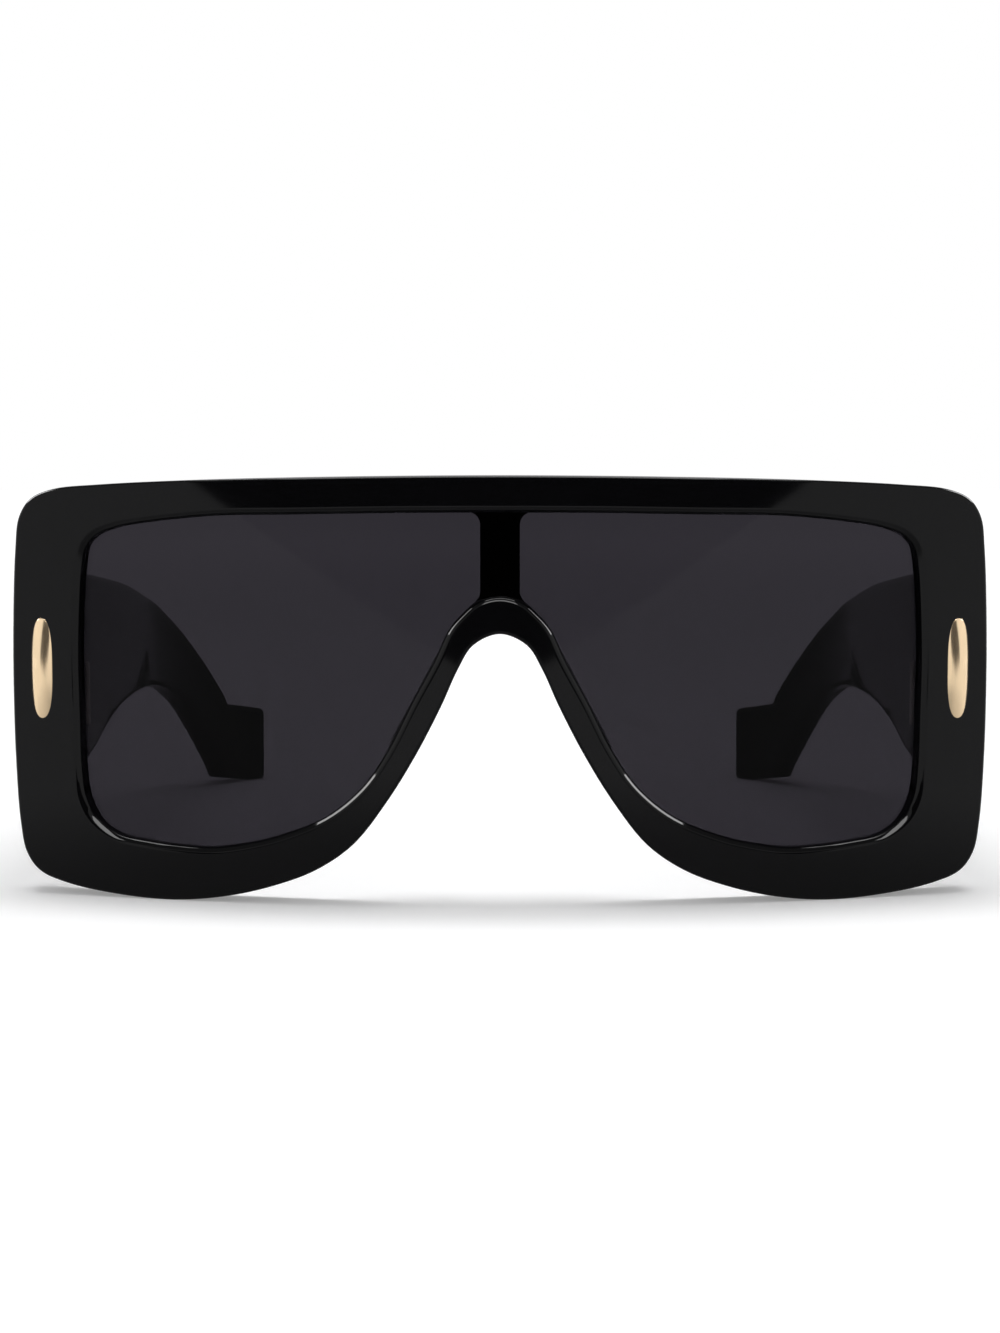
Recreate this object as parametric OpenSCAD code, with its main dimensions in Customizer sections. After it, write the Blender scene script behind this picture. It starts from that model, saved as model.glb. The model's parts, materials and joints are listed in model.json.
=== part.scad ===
// Oversized shield sunglasses, open and standing on a flat surface.
// X points to the wearer's left, Y back towards the face, Z up. The surface is z = 0, and the origin is the middle
// of the area that the open glasses cover. Lengths are in millimetres and angles in degrees.

/* [Front] */
// Width of the front across its outer edges
front_w = 150; // [142:1:158]
// Height of the front at its middle, above the surface that it stands on
front_h = 64.4; // [60:0.2:68]
// Radius of the front's outer face, seen from above
front_r = 200; // [175:5:240]
// Thickness of the front
front_t = 6.2; // [5.8:0.1:6.8]
// Width of the bevel along the front's outer edge
edge_bevel = 0.8; // [0.4:0.1:1.2]
// Width of the bevel round the lens opening
opening_bevel = 1.3; // [0.6:0.1:1.6]

/* [Lens] */
// Thickness of the one-piece lens
lens_t = 2; // [1.6:0.1:2.2]
// Depth of the lens behind the front's outer face
lens_recess = 2.2; // [2:0.1:2.4]
// How far the lens reaches into its groove
lens_grip = 1; // [0.6:0.1:1.2]
// How much wider the lens and the opening behind it are towards the sides, where they are seen at an angle
side_ease = 1.5; // [1.2:0.1:1.6]
// Width of the brace behind the middle of the lens
brace_w = 6; // [4:0.5:8]
// Radius of the brace's upper and lower corners
brace_corner_r = 1.8; // [1:0.2:2.4]

/* [Arms] */
// Thickness of an arm at its hinge
arm_t = 6; // [5.4:0.2:6.6]
// Thickness of an arm at its foot
arm_tip_t = 4.8; // [4.4:0.1:5.4]
// Length of an arm along its inner face, from the front to the end of its foot
arm_len = 137.5; // [132:0.5:138]
// Straight run of an arm, before it curls inwards behind the ear
arm_straight = 84; // [78:1:90]
// Radius of an arm's inner face where it curls inwards
arm_curl_r = 84; // [80:2:100]
// Angle at which an arm leans inwards from its hinge
arm_toe = 1.4; // [0.6:0.2:1.8]
// Height of an arm's upper edge at its hinge
arm_root_top = 48.6; // [46:0.2:52]
// Height of an arm's lower edge at its hinge
arm_root_bottom = 15.6; // [15.4:0.2:18]
// Greatest height of an arm's lower edge
arm_arch_h = 23.2; // [22:0.2:24]
// Rounding of an arm's long edges
arm_edge_r = 1.5; // [1:0.1:2.6]
// Height of the foot at the end of an arm
foot_h = 14.5; // [13:0.1:15.2]
// Length of the foot's upper edge
foot_len = 11.5; // [9:0.1:14]
// Length of the foot's lower edge
sole_len = 12; // [10:0.5:14]
// Angle at which the foot points down, so that it stands on the end of its sole
foot_tilt = 9.5; // [7:0.5:12]
// Rounding of the foot's edges
foot_edge_r = 1; // [0.8:0.1:1.6]

/* [Hinges] */
// Height of the hinges' middle above the surface
hinge_z = 30; // [28:0.5:31]
// Radius of the hinge barrels
barrel_r = 1.9; // [1.7:0.1:2]
// Height of one hinge barrel
barrel_h = 1.9; // [1.7:0.1:2.1]
// Thickness of a hinge leaf
leaf_t = 1.2; // [1:0.1:1.4]
// Radius of the hinge screw's shank
pivot_r = 0.7; // [0.6:0.05:0.8]
// Radius of a leaf screw's shank
screw_r = 0.6; // [0.5:0.05:0.7]
// Length of a leaf screw under the leaf's face
screw_len = 3.8; // [3.2:0.1:4.2]
// Radius of the wire inside an arm
core_r = 0.7; // [0.5:0.1:0.9]

/* [Inlays] */
// Height of an oval inlay
inlay_h = 16; // [12:0.5:20]
// Width of an oval inlay at the front's face
inlay_w = 3.6; // [3:0.1:4]
// How far an inlay stands out of the front's face
inlay_rise = 1.1; // [0.7:0.1:1.3]
// Distance from the front's outer edge to an inlay's middle
inlay_edge = 4.8; // [4.4:0.1:5.2]
// Height of an inlay's middle above the surface
inlay_z = 34.8; // [32:0.2:38]

/* [Nose pads] */
// Radius of a nose pad's rounded edge
pad_r = 1.6; // [1.3:0.1:1.8]
// How far a nose pad stands back from the front
pad_out = 6.5; // [5:0.5:8]
// How much further outwards a nose pad's back lies than its base
pad_flare = 0.5; // [0:0.1:1]

/* [Hidden] */

// Clearances and the overrun of cuts
fit_gap = 0.03;        // between pieces that are glued, pressed or screwed together
lens_gap = 0.08;       // round the lens in its groove
butt_gap = 0.15;       // between the front and an open arm
pivot_gap = 0.05;      // between the hinge screw and the arm's barrels
barrel_gap = 0.08;     // between neighbouring barrels
barrel_play = 0.25;    // between the barrels and the arm's inner face
barrel_stand = 0.1;    // between the barrels and the front's seat
overrun = 1;           // of a cut past the face that it opens
bevel_run = 0.4;       // of a bevel's cut past the front's face

// Smoothness
curve_steps = 4;       // straight pieces in one stretch of an outline
edge_steps = 4;        // straight pieces in a rounded edge of an arm
round_fn = 48;         // on bores, barrels and screws
face_fn = 360;         // on the front's curved faces
pad_fn = 24;           // on the nose pads

// The front
lug_step = 0.3;        // of the lug's seat behind the front's outer back edge
lug_inset = 0.9;       // of the lug's inner wall from the opening, outwards
arm_side_step = 0.5;   // of an arm's outer face inside the front's outer edge

// Hinge leaves
barrel_count = 5;
front_leaf_h = 13.4;   // height of the leaf on the front
front_leaf_rim = 1.1;  // of the front leaf inside the barrels' axis
front_leaf_w = 8.1;    // width of the front leaf
arm_leaf_len = 12.6;   // length of the leaf on the arm, from the barrels' axis
arm_leaf_h = 8.8;      // height of the leaf on the arm
web_t = 2;             // thickness of the webs under the front leaf's barrels
screw_head_r = 1.15;   // of a leaf screw
screw_head_h = 0.6;    // depth of a leaf screw's cone
slot_w = 0.32;         // of a screw's slot
slot_d = 0.3;          // of a screw's slot
pivot_head_r = 1.2;    // of the hinge screw
pivot_head_h = 0.7;    // of the hinge screw
pivot_tail = 0.1;      // of the hinge screw above the lowest barrel's underside
front_screw_pitch = 8; // between the two screws of a front leaf
front_screw_in = 4.2;  // of the front leaf's screws outside the barrels' axis
arm_screw_first = 5;   // from the barrels' axis to an arm leaf's first screw
arm_screw_pitch = 4.6; // between the two screws of an arm leaf

// Inlays
inlay_back = 1.2;      // depth of an inlay's flat back behind the front's face
inlay_pin_r = 0.6;     // of the two pins behind an inlay
inlay_pin_len = 1.6;
inlay_pin_pitch = 8;
inlay_blunt = 2.3;     // exponent of the oval: 2 is an ellipse, and more is blunter
inlay_steps = 24;      // straight pieces along an inlay's outline

// Lens
ease_start = 15;       // distance from the middle at which the lens starts to be wider
ease_run = 25;         // length over which it grows wider

// Arms and their wires
sole_flat = 5;         // length of the end of the sole that stands flat on the surface
sole_cut = 0.2;        // taken off under that end
core_lift = 10;        // of the wire's start above the middle of the arm's root
core_end = 14;         // of the wire's end before the end of the arm
core_sides = 8;
core_step = 4;         // between the rings of the wire
core_start = 1.2;      // of the wire's start behind the arm's butt
ring_step = 4;         // between the rings of an arm's straight run
curl_step = 2;         // between the rings of its curl
foot_step = 1.1;       // between the rings of its foot

// Half of the front's outline, from the middle of its top edge round to the middle of the nose arch,
// as shares of half the front's width and of its height
front_shares = [
    [0, 1], [0.307, 0.997], [0.6, 0.989], [0.813, 0.977], [0.908, 0.966],
    [0.957, 0.943], [0.983, 0.899], [0.992, 0.823], [0.999, 0.637], [1, 0.466],
    [0.997, 0.31], [0.989, 0.171], [0.976, 0.096], [0.947, 0.053], [0.887, 0.027],
    [0.78, 0.007], [0.66, 0], [0.553, 0.013], [0.453, 0.042], [0.367, 0.082],
    [0.293, 0.143], [0.227, 0.241], [0.167, 0.354], [0.116, 0.469], [0.083, 0.554],
    [0.053, 0.609], [0, 0.635]
];
// Half of the lens opening's outline, as the same shares
opening_shares = [
    [0, 0.914], [0.199, 0.913], [0.4, 0.909], [0.568, 0.905], [0.71, 0.888],
    [0.773, 0.875], [0.811, 0.857], [0.834, 0.827], [0.843, 0.777], [0.849, 0.68],
    [0.852, 0.563], [0.85, 0.43], [0.847, 0.3], [0.839, 0.235], [0.817, 0.188],
    [0.773, 0.152], [0.712, 0.138], [0.643, 0.13], [0.572, 0.128], [0.504, 0.14],
    [0.436, 0.161], [0.347, 0.206], [0.275, 0.275], [0.225, 0.358], [0.173, 0.478],
    [0.13, 0.571], [0.1, 0.646], [0.075, 0.68], [0.044, 0.71], [0, 0.723]
];
// The two ends of a nose pad's middle line, half way between those outlines, as the same shares
pad_top_share = [0.1065, 0.5625];
pad_bottom_share = [0.196, 0.356];
// An arm's upper edge: shares of the length before the foot, and of the drop from the root to the foot
arm_top_shares = [
    [0, 1], [0.143, 0.986], [0.246, 0.961], [0.405, 0.904], [0.517, 0.858], [0.604, 0.809], [0.707, 0.74],
    [0.755, 0.692], [0.8, 0.621], [0.853, 0.518], [0.899, 0.395], [0.94, 0.257], [0.984, 0.08], [1, 0]
];
// An arm's lower edge up to its highest point: shares of that length, and of the rise from the root
arm_rise_shares = [
    [0, 0], [0.15, 0], [0.232, 0.07], [0.301, 0.17], [0.389, 0.32],
    [0.513, 0.62], [0.64, 0.82], [0.756, 0.93], [0.878, 0.985], [1, 1]
];
// The same edge down to the sole: shares of that length, and of the greatest height
arm_fall_shares = [
    [0, 1], [0.223, 0.987], [0.382, 0.965], [0.515, 0.905], [0.674, 0.746],
    [0.813, 0.5], [0.935, 0.22], [0.981, 0.085], [1, 0]
];
// Where the lower edge is highest, as a share of the arm's length
arm_arch_share = 0.58;
// Where the edges' rounding starts to narrow towards the foot, as a share of the arm's length
arm_narrow_share = 0.8;
// The most that the edges' rounding takes of an arm's thickness
edge_share = 0.45;

// A point of a curve that passes through p1 and p2, with its knots spaced by the roots of the distances
function blend(p, q, a, b, t) = (b - t) / (b - a) * p + (t - a) / (b - a) * q;
function curve_point(p0, p1, p2, p3, share) =
    let (
        t1 = sqrt(norm(p1 - p0)),
        t2 = t1 + sqrt(norm(p2 - p1)),
        t3 = t2 + sqrt(norm(p3 - p2)),
        t = t1 + (t2 - t1) * share,
        a = blend(p0, p1, 0, t1, t),
        b = blend(p1, p2, t1, t2, t),
        c = blend(p2, p3, t2, t3, t),
        d = blend(a, b, 0, t2, t),
        e = blend(b, c, t1, t3, t)
    ) blend(d, e, t1, t2, t);
function closed_curve(points) =
    let (n = len(points))
    [for (i = [0 : n - 1]) for (k = [0 : curve_steps - 1])
        curve_point(points[(i + n - 1) % n], points[i], points[(i + 1) % n], points[(i + 2) % n], k / curve_steps)];
function both_halves(half) =
    concat(half, [for (i = [len(half) - 2 : -1 : 1]) [-half[i][0], half[i][1]]]);
function from_shares(shares) = [for (s = shares) [s[0] * front_w / 2, s[1] * front_h]];
// An outline that runs clockwise, moved outwards
function grown(points, d) =
    let (n = len(points))
    [for (i = [0 : n - 1])
        let (run = points[(i + 1) % n] - points[(i + n - 1) % n])
        points[i] + d * [-run[1], run[0]] / norm(run)];
// The height of an edge from its table, smooth through every row
function slope(table, i) =
    i == 0 || i == len(table) - 1 ? 0
    : (table[i + 1][1] - table[i - 1][1]) / (table[i + 1][0] - table[i - 1][0]);
function row_of(table, u) = len([for (row = table) if (row[0] <= u) 1]) - 1;
function from_table(table, u) =
    let (
        i = min(max(row_of(table, u), 0), len(table) - 2),
        w = table[i + 1][0] - table[i][0],
        t = min(max((u - table[i][0]) / w, 0), 1)
    )
    table[i][1] * (1 + 2 * t) * pow(1 - t, 2) + table[i + 1][1] * pow(t, 2) * (3 - 2 * t)
    + w * (slope(table, i) * t * pow(1 - t, 2) - slope(table, i + 1) * pow(t, 2) * (1 - t));
function eased(t) = let (u = min(max(t, 0), 1)) u * u * (3 - 2 * u);

// Depths behind the foremost point of the front
function face_depth(x) = front_r - sqrt(pow(front_r, 2) - pow(x, 2));
function back_depth(x) = front_r - sqrt(pow(front_r - front_t, 2) - pow(x, 2));
butt_depth = back_depth(front_w / 2) + lug_step;

// The hinge's axis and the arm's own frame, whose origin is on that axis
hinge_off = barrel_r + barrel_play;
hinge_back = barrel_r + barrel_stand;
arm_in_x = front_w / 2 - arm_side_step - arm_t;
hinge_x = arm_in_x - hinge_off;
stack_h = barrel_count * barrel_h + (barrel_count - 1) * barrel_gap;
stack_z = hinge_z - stack_h / 2;
arm_start = -hinge_back - overrun;

// An arm's edges at a distance along its inner face
arch_at = arm_arch_share * arm_len;
foot_slope = tan(foot_tilt);
foot_start = arm_len - foot_len;
notch_h = foot_h + foot_len * foot_slope;
function arm_top(l) =
    l < foot_start
        ? notch_h + (arm_root_top - notch_h) * from_table(arm_top_shares, l / foot_start)
        : foot_h + (arm_len - l) * foot_slope;
function arm_bottom(l) =
    l < arch_at
        ? arm_root_bottom + (arm_arch_h - arm_root_bottom) * from_table(arm_rise_shares, l / arch_at)
        : let (share = (l - arch_at) / (arm_len - sole_len - arch_at))
        max((arm_arch_h + sole_cut) * from_table(arm_fall_shares, share) - sole_cut,
            (arm_len - sole_flat - l) * foot_slope);
function arm_thick(l) = arm_t + (arm_tip_t - arm_t) * min(max(l / arm_len, 0), 1);
function edge_r(l) =
    let (share = eased((l / arm_len - arm_narrow_share) / (1 - arm_narrow_share) * 2))
    min(arm_edge_r + (foot_edge_r - arm_edge_r) * share, edge_share * arm_thick(l));
// A point of an arm: l along its inner face, n outwards from that face
function arm_point(l, n, z) =
    l < arm_straight
        ? [hinge_off + n, l - hinge_back, z]
        : let (a = (l - arm_straight) / arm_curl_r * 180 / PI)
        [hinge_off - arm_curl_r + (arm_curl_r + n) * cos(a),
            arm_straight - hinge_back + (arm_curl_r + n) * sin(a), z];
function arm_ring(l, inset) =
    let (
        r = edge_r(l),
        low = arm_bottom(l) + inset + r,
        high = arm_top(l) - inset - r,
        near = inset + r,
        far = arm_thick(l) - inset - r,
        corners = [[far, high], [near, high], [near, low], [far, low]]
    )
    [for (c = [0 : 3]) for (k = [0 : edge_steps])
        let (a = 90 * (c + k / edge_steps))
        arm_point(l, corners[c][0] + r * cos(a), corners[c][1] + r * sin(a))];
// The rings of an arm, closer together where it curls and at its foot, and its rounded end
curl_end = arm_len - sole_len - foot_step;
ring_places = concat(
    [-overrun], [for (l = [ring_step : ring_step : arm_straight]) l],
    [for (l = [arm_straight + curl_step : curl_step : curl_end]) l],
    [for (l = [curl_end + foot_step : foot_step : arm_len - foot_edge_r]) l]
);
arm_rings = concat(
    [for (l = ring_places) arm_ring(l, 0)],
    [for (k = [0 : edge_steps])
        let (a = 90 * k / edge_steps)
        arm_ring(arm_len - foot_edge_r * (1 - sin(a)), foot_edge_r * (1 - cos(a)) * 0.9)]
);
arm_reach = max([for (ring = arm_rings) for (p = ring) p[0] * sin(arm_toe) + p[1] * cos(arm_toe)]);

// The glasses cover the same length before and behind the origin
overall_d = butt_depth + hinge_back + arm_reach;
front_y = -overall_d / 2;
axis_y = front_y + front_r;
butt_y = front_y + butt_depth;
hinge_y = butt_y + hinge_back;

front_points = from_shares(front_shares);
opening_points = from_shares(opening_shares);
front_outline = closed_curve(both_halves(front_points));
opening_outline = closed_curve(both_halves(opening_points));

// A closed skin through rings of points
function ring_faces(count, sides) = concat(
    [[for (k = [sides - 1 : -1 : 0]) k]],
    [for (i = [0 : count - 2]) for (k = [0 : sides - 1])
        [i * sides + k, (i + 1) * sides + (k + 1) % sides, (i + 1) * sides + k]],
    [for (i = [0 : count - 2]) for (k = [0 : sides - 1])
        [i * sides + k, i * sides + (k + 1) % sides, (i + 1) * sides + (k + 1) % sides]],
    [[for (k = [0 : sides - 1]) (count - 1) * sides + k]]
);
module skin(rings) {
    polyhedron([for (ring = rings) for (p = ring) p], ring_faces(len(rings), len(rings[0])), convexity = 6);
}

// The wearer's left is drawn, and the right is its mirror image
module right_side() {
    mirror([1, 0, 0]) children();
}
module arm_frame() {
    translate([hinge_x, hinge_y, 0]) rotate([0, 0, arm_toe]) children();
}

// An outline seen from the front, drawn straight back
module straight_prism(points) {
    depth = butt_depth + 2 * overrun;
    translate([0, front_y - overrun + depth, 0]) rotate([90, 0, 0]) linear_extrude(depth) polygon(points);
}
// Rings for a skin, from an outline on the lens's outer face: square to the curved front at a depth behind its face,
// and where those lines meet an upright plane
function turn_at(x) = asin(x / (front_r - lens_recess));
function square_ring(points, depth) =
    [for (p = points) let (a = turn_at(p[0]))
        [(front_r - depth) * sin(a), axis_y - (front_r - depth) * cos(a), p[1]]];
function plane_ring(points, y) = [for (p = points) [(axis_y - y) * tan(turn_at(p[0])), y, p[1]]];
// An outline moved outwards, and further towards the sides
function widened(points, distance) =
    let (out = grown(points, 1))
    [for (i = [0 : len(points) - 1])
        let (far = distance + side_ease * eased((abs(points[i][0]) - ease_start) / ease_run))
        points[i] + (out[i] - points[i]) * far];
module bent_prism(points) {
    skin([plane_ring(points, butt_y + overrun), plane_ring(points, front_y - overrun)]);
}
module opening_prism() {
    wide = grown(opening_outline, opening_bevel + bevel_run);
    behind = widened(opening_outline, 0);
    skin([
        plane_ring(behind, butt_y + overrun), square_ring(behind, lens_recess + lens_t),
        square_ring(opening_outline, lens_recess), square_ring(opening_outline, opening_bevel),
        square_ring(wide, -bevel_run), plane_ring(wide, front_y - overrun)
    ]);
}
// The same outline straight back from the front's face, with its bevelled edge
function straight_ring(points, depth) =
    [for (p = points) [p[0], axis_y - sqrt(pow(front_r - depth, 2) - pow(p[0], 2)), p[1]]];
function level_ring(points, y) = [for (p = points) [p[0], y, p[1]]];
module bevelled_prism() {
    narrow = grown(front_outline, -edge_bevel - bevel_run);
    skin([
        level_ring(front_outline, butt_y + overrun), straight_ring(front_outline, edge_bevel),
        straight_ring(narrow, -bevel_run), level_ring(narrow, front_y - overrun)
    ]);
}
module face_cylinder(depth) {
    translate([0, axis_y, -overrun]) cylinder(r = front_r - depth, h = front_h + 2 * overrun, $fn = face_fn);
}
// The sheet between two depths behind the front's face
module sheet(near, far) {
    difference() {
        face_cylinder(near);
        face_cylinder(far);
    }
}

// The front and what is fixed to it
module lug() {
    lug_x = opening_points[10][0] + lug_inset;
    y = front_y + face_depth(lug_x) + front_t / 2;
    intersection() {
        translate([lug_x, y, arm_root_bottom])
            cube([front_w / 2 - lug_x + overrun, butt_y - y, arm_root_top - arm_root_bottom]);
        straight_prism(front_outline);
        face_cylinder(0);
    }
}
module brace_outline() {
    low = opening_points[len(opening_points) - 1][1];
    high = opening_points[0][1];
    r = brace_corner_r;
    w = brace_w / 2;
    right = concat(
        [[w + r, low - overrun - r], [w + r, low - overrun]],
        [for (a = [75 : -15 : 0]) [w + r - r * cos(a), low - overrun + r - r * sin(a)]],
        [for (a = [0 : 15 : 90]) [w + r - r * cos(a), high - r + r * sin(a)]],
        [[w + r, high + overrun]]
    );
    translate([0, butt_y, 0]) rotate([90, 0, 0]) linear_extrude(butt_depth)
        polygon(concat(right, [for (i = [len(right) - 1 : -1 : 0]) [-right[i][0], right[i][1]]]));
}
module inlay_body(gap) {
    half = inlay_h / 2 + gap;
    // The axis lies behind the face so that the oval is inlay_w wide where it meets the face
    wide_r = (pow(inlay_w / 2, 2) + pow(inlay_rise, 2)) / (2 * inlay_rise) + gap;
    sunk = wide_r - gap - inlay_rise;
    profile = [for (k = [0 : inlay_steps])
        let (t = -cos(180 * k / inlay_steps))
        [wide_r * pow(max(1 - pow(abs(t), inlay_blunt), 0), 1 / inlay_blunt), half * t]];
    intersection() {
        translate([0, sunk, 0]) rotate_extrude($fn = round_fn) polygon(profile);
        translate([-inlay_w, -inlay_w, -inlay_h])
            cube([2 * inlay_w, inlay_w + inlay_back + gap, 2 * inlay_h]);
    }
    for (z = [-inlay_pin_pitch / 2, inlay_pin_pitch / 2])
        translate([0, 0, z]) rotate([-90, 0, 0])
            cylinder(r = inlay_pin_r + gap, h = inlay_back + inlay_pin_len + gap, $fn = round_fn);
}
// The frame of an inlay: its origin is on the front's face, and y runs into the front
module inlay_frame() {
    x = front_w / 2 - inlay_edge;
    translate([x, front_y + face_depth(x), inlay_z]) rotate([0, 0, asin(x / front_r)]) children();
}
module leaf_screw(gap) {
    cylinder(r1 = screw_head_r + gap, r2 = screw_r + gap, h = screw_head_h, $fn = round_fn);
    cylinder(r = screw_r + gap, h = screw_len + gap, $fn = round_fn);
}
module slot(length) {
    translate([-length / 2, -slot_w / 2, -slot_d]) cube([length, slot_w, 2 * slot_d]);
}
// The heads' places on a leaf: z runs into the leaf
module front_screw_places() {
    for (z = [-front_screw_pitch / 2, front_screw_pitch / 2])
        translate([hinge_x + front_screw_in, butt_y, hinge_z + z]) rotate([90, 0, 0]) children();
}
module arm_screw_places() {
    for (y = [arm_screw_first, arm_screw_first + arm_screw_pitch])
        translate([hinge_off, y, hinge_z]) rotate([0, 90, 0]) children();
}
module front_leaf_plate(gap) {
    translate([hinge_x - front_leaf_rim - gap, butt_y - leaf_t - gap, hinge_z - front_leaf_h / 2 - gap])
        cube([front_leaf_w + 2 * gap, leaf_t + gap, front_leaf_h + 2 * gap]);
}
module front_frame_body() {
    difference() {
        union() {
            intersection() {
                bevelled_prism();
                sheet(0, front_t);
            }
            lug();
            right_side() lug();
        }
        difference() {
            opening_prism();
            intersection() {
                brace_outline();
                sheet(lens_recess + lens_t + lens_gap, front_t);
            }
        }
        intersection() {
            bent_prism(widened(opening_outline, lens_grip + lens_gap));
            sheet(lens_recess - lens_gap, lens_recess + lens_t + lens_gap);
        }
        for (side = [0, 1]) mirror([side, 0, 0]) {
            inlay_frame() inlay_body(fit_gap);
            front_leaf_plate(fit_gap);
            translate([0, overrun, 0]) front_leaf_plate(fit_gap);
            front_screw_places() leaf_screw(fit_gap);
        }
    }
}
module shield_lens_body() {
    intersection() {
        bent_prism(widened(opening_outline, lens_grip));
        sheet(lens_recess, lens_recess + lens_t);
    }
}
module nose_pad() {
    ends = from_shares([pad_top_share, pad_bottom_share]);
    base_y = front_y + back_depth(ends[1][0]);
    intersection() {
        hull() for (p = ends) {
            translate([p[0], base_y - pad_r / 2, p[1]]) sphere(pad_r, $fn = pad_fn);
            translate([p[0] + pad_flare, base_y + pad_out - pad_r, p[1]]) sphere(pad_r, $fn = pad_fn);
        }
        face_cylinder(front_t + fit_gap);
    }
}
module barrel(k, r) {
    translate([0, 0, stack_z + k * (barrel_h + barrel_gap)]) cylinder(r = r, h = barrel_h, $fn = round_fn);
}
module front_hinge_leaf() {
    difference() {
        union() {
            front_leaf_plate(0);
            translate([hinge_x, hinge_y, 0]) for (k = [0 : 2 : barrel_count - 1]) {
                barrel(k, barrel_r);
                translate([-web_t / 2, -hinge_back - leaf_t / 2, stack_z + k * (barrel_h + barrel_gap)])
                    cube([web_t, hinge_back + leaf_t / 2, barrel_h]);
            }
        }
        translate([hinge_x, hinge_y, 0]) {
            translate([0, 0, stack_z - overrun])
                cylinder(r = pivot_r + fit_gap, h = stack_h + 2 * overrun, $fn = round_fn);
            translate([0, 0, stack_z + stack_h - pivot_head_h - fit_gap])
                cylinder(r = pivot_head_r + fit_gap, h = pivot_head_h + overrun, $fn = round_fn);
        }
        front_screw_places() leaf_screw(fit_gap);
    }
}
module front_leaf_screws() {
    front_screw_places() difference() {
        leaf_screw(0);
        slot(3 * screw_head_r);
    }
}
module hinge_screw() {
    translate([hinge_x, hinge_y, 0]) difference() {
        union() {
            translate([0, 0, stack_z + pivot_tail]) cylinder(r = pivot_r, h = stack_h - pivot_tail, $fn = round_fn);
            translate([0, 0, stack_z + stack_h - pivot_head_h])
                cylinder(r = pivot_head_r, h = pivot_head_h, $fn = round_fn);
        }
        translate([0, 0, stack_z + stack_h]) slot(3 * pivot_head_r);
    }
}

// An arm and what is fixed to it, in the arm's own frame
module arm_leaf_plate(gap) {
    translate([hinge_off - gap, -gap, hinge_z - arm_leaf_h / 2 - gap])
        cube([leaf_t + 2 * gap, arm_leaf_len + 2 * gap, arm_leaf_h + 2 * gap]);
}
module arm_hinge_leaf() {
    arm_frame() difference() {
        union() {
            arm_leaf_plate(0);
            for (k = [1 : 2 : barrel_count - 2]) {
                barrel(k, barrel_r);
                translate([0, 0, stack_z + k * (barrel_h + barrel_gap)])
                    cube([hinge_off + leaf_t / 2, barrel_r, barrel_h]);
            }
        }
        translate([0, 0, stack_z]) cylinder(r = pivot_r + pivot_gap, h = stack_h, $fn = round_fn);
        arm_screw_places() leaf_screw(fit_gap);
    }
}
module arm_leaf_screws() {
    arm_frame() arm_screw_places() difference() {
        leaf_screw(0);
        slot(3 * screw_head_r);
    }
}
function core_place(l) =
    let (
        middle = (arm_top(l) + arm_bottom(l)) / 2,
        lift = core_lift * pow(max(1 - l / arm_straight, 0), 2)
    ) arm_point(l, arm_thick(l) / 2, middle + lift);
function core_rings(r, from, to) =
    let (n = ceil((to - from) / core_step))
    [for (i = [0 : n])
        let (
            l = from + (to - from) * i / n,
            run = core_place(l + core_step / 4) - core_place(l - core_step / 4),
            ahead = run / norm(run),
            side = cross(ahead, [0, 0, 1]) / norm(cross(ahead, [0, 0, 1])),
            up = cross(side, ahead)
        )
        [for (k = [0 : core_sides - 1])
            let (a = 360 * k / core_sides)
            core_place(l) + r * (cos(a) * side + sin(a) * up)]];
module arm_core_wire() {
    arm_frame() skin(core_rings(core_r, core_start, arm_len - core_end));
}
module arm() {
    difference() {
        arm_frame() difference() {
            skin(arm_rings);
            arm_leaf_plate(fit_gap);
            translate([-overrun, 0, 0]) arm_leaf_plate(fit_gap);
            arm_screw_places() leaf_screw(fit_gap);
            skin(core_rings(core_r + fit_gap, -2 * overrun, arm_len - core_end + fit_gap));
        }
        // The butt that meets the front, and the flat sole
        translate([0, butt_y + butt_gap - 2 * front_t, -overrun]) cube([front_w, 2 * front_t, front_h]);
        translate([0, 0, -front_h]) cube([front_w, overall_d, front_h]);
    }
}

module front_frame() {
    color([0.03, 0.03, 0.03]) front_frame_body();
}
module shield_lens() {
    color([0.16, 0.16, 0.18, 0.6]) shield_lens_body();
}
module left_nose_pad() {
    color([0.04, 0.04, 0.04]) nose_pad();
}
module right_nose_pad() {
    color([0.04, 0.04, 0.04]) right_side() nose_pad();
}
module left_corner_inlay() {
    color([0.86, 0.7, 0.45]) inlay_frame() inlay_body(0);
}
module right_corner_inlay() {
    color([0.86, 0.7, 0.45]) right_side() inlay_frame() inlay_body(0);
}
module left_front_hinge_leaf() {
    color([0.72, 0.7, 0.66]) front_hinge_leaf();
}
module right_front_hinge_leaf() {
    color([0.72, 0.7, 0.66]) right_side() front_hinge_leaf();
}
module left_front_leaf_screws() {
    color([0.8, 0.8, 0.8]) front_leaf_screws();
}
module right_front_leaf_screws() {
    color([0.8, 0.8, 0.8]) right_side() front_leaf_screws();
}
module left_hinge_screw() {
    color([0.8, 0.8, 0.8]) hinge_screw();
}
module right_hinge_screw() {
    color([0.8, 0.8, 0.8]) right_side() hinge_screw();
}
module left_arm() {
    color([0.03, 0.03, 0.03]) arm();
}
module right_arm() {
    color([0.03, 0.03, 0.03]) right_side() arm();
}
module left_arm_hinge_leaf() {
    color([0.72, 0.7, 0.66]) arm_hinge_leaf();
}
module right_arm_hinge_leaf() {
    color([0.72, 0.7, 0.66]) right_side() arm_hinge_leaf();
}
module left_arm_leaf_screws() {
    color([0.8, 0.8, 0.8]) arm_leaf_screws();
}
module right_arm_leaf_screws() {
    color([0.8, 0.8, 0.8]) right_side() arm_leaf_screws();
}
module left_arm_core_wire() {
    color([0.6, 0.6, 0.6]) arm_core_wire();
}
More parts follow.
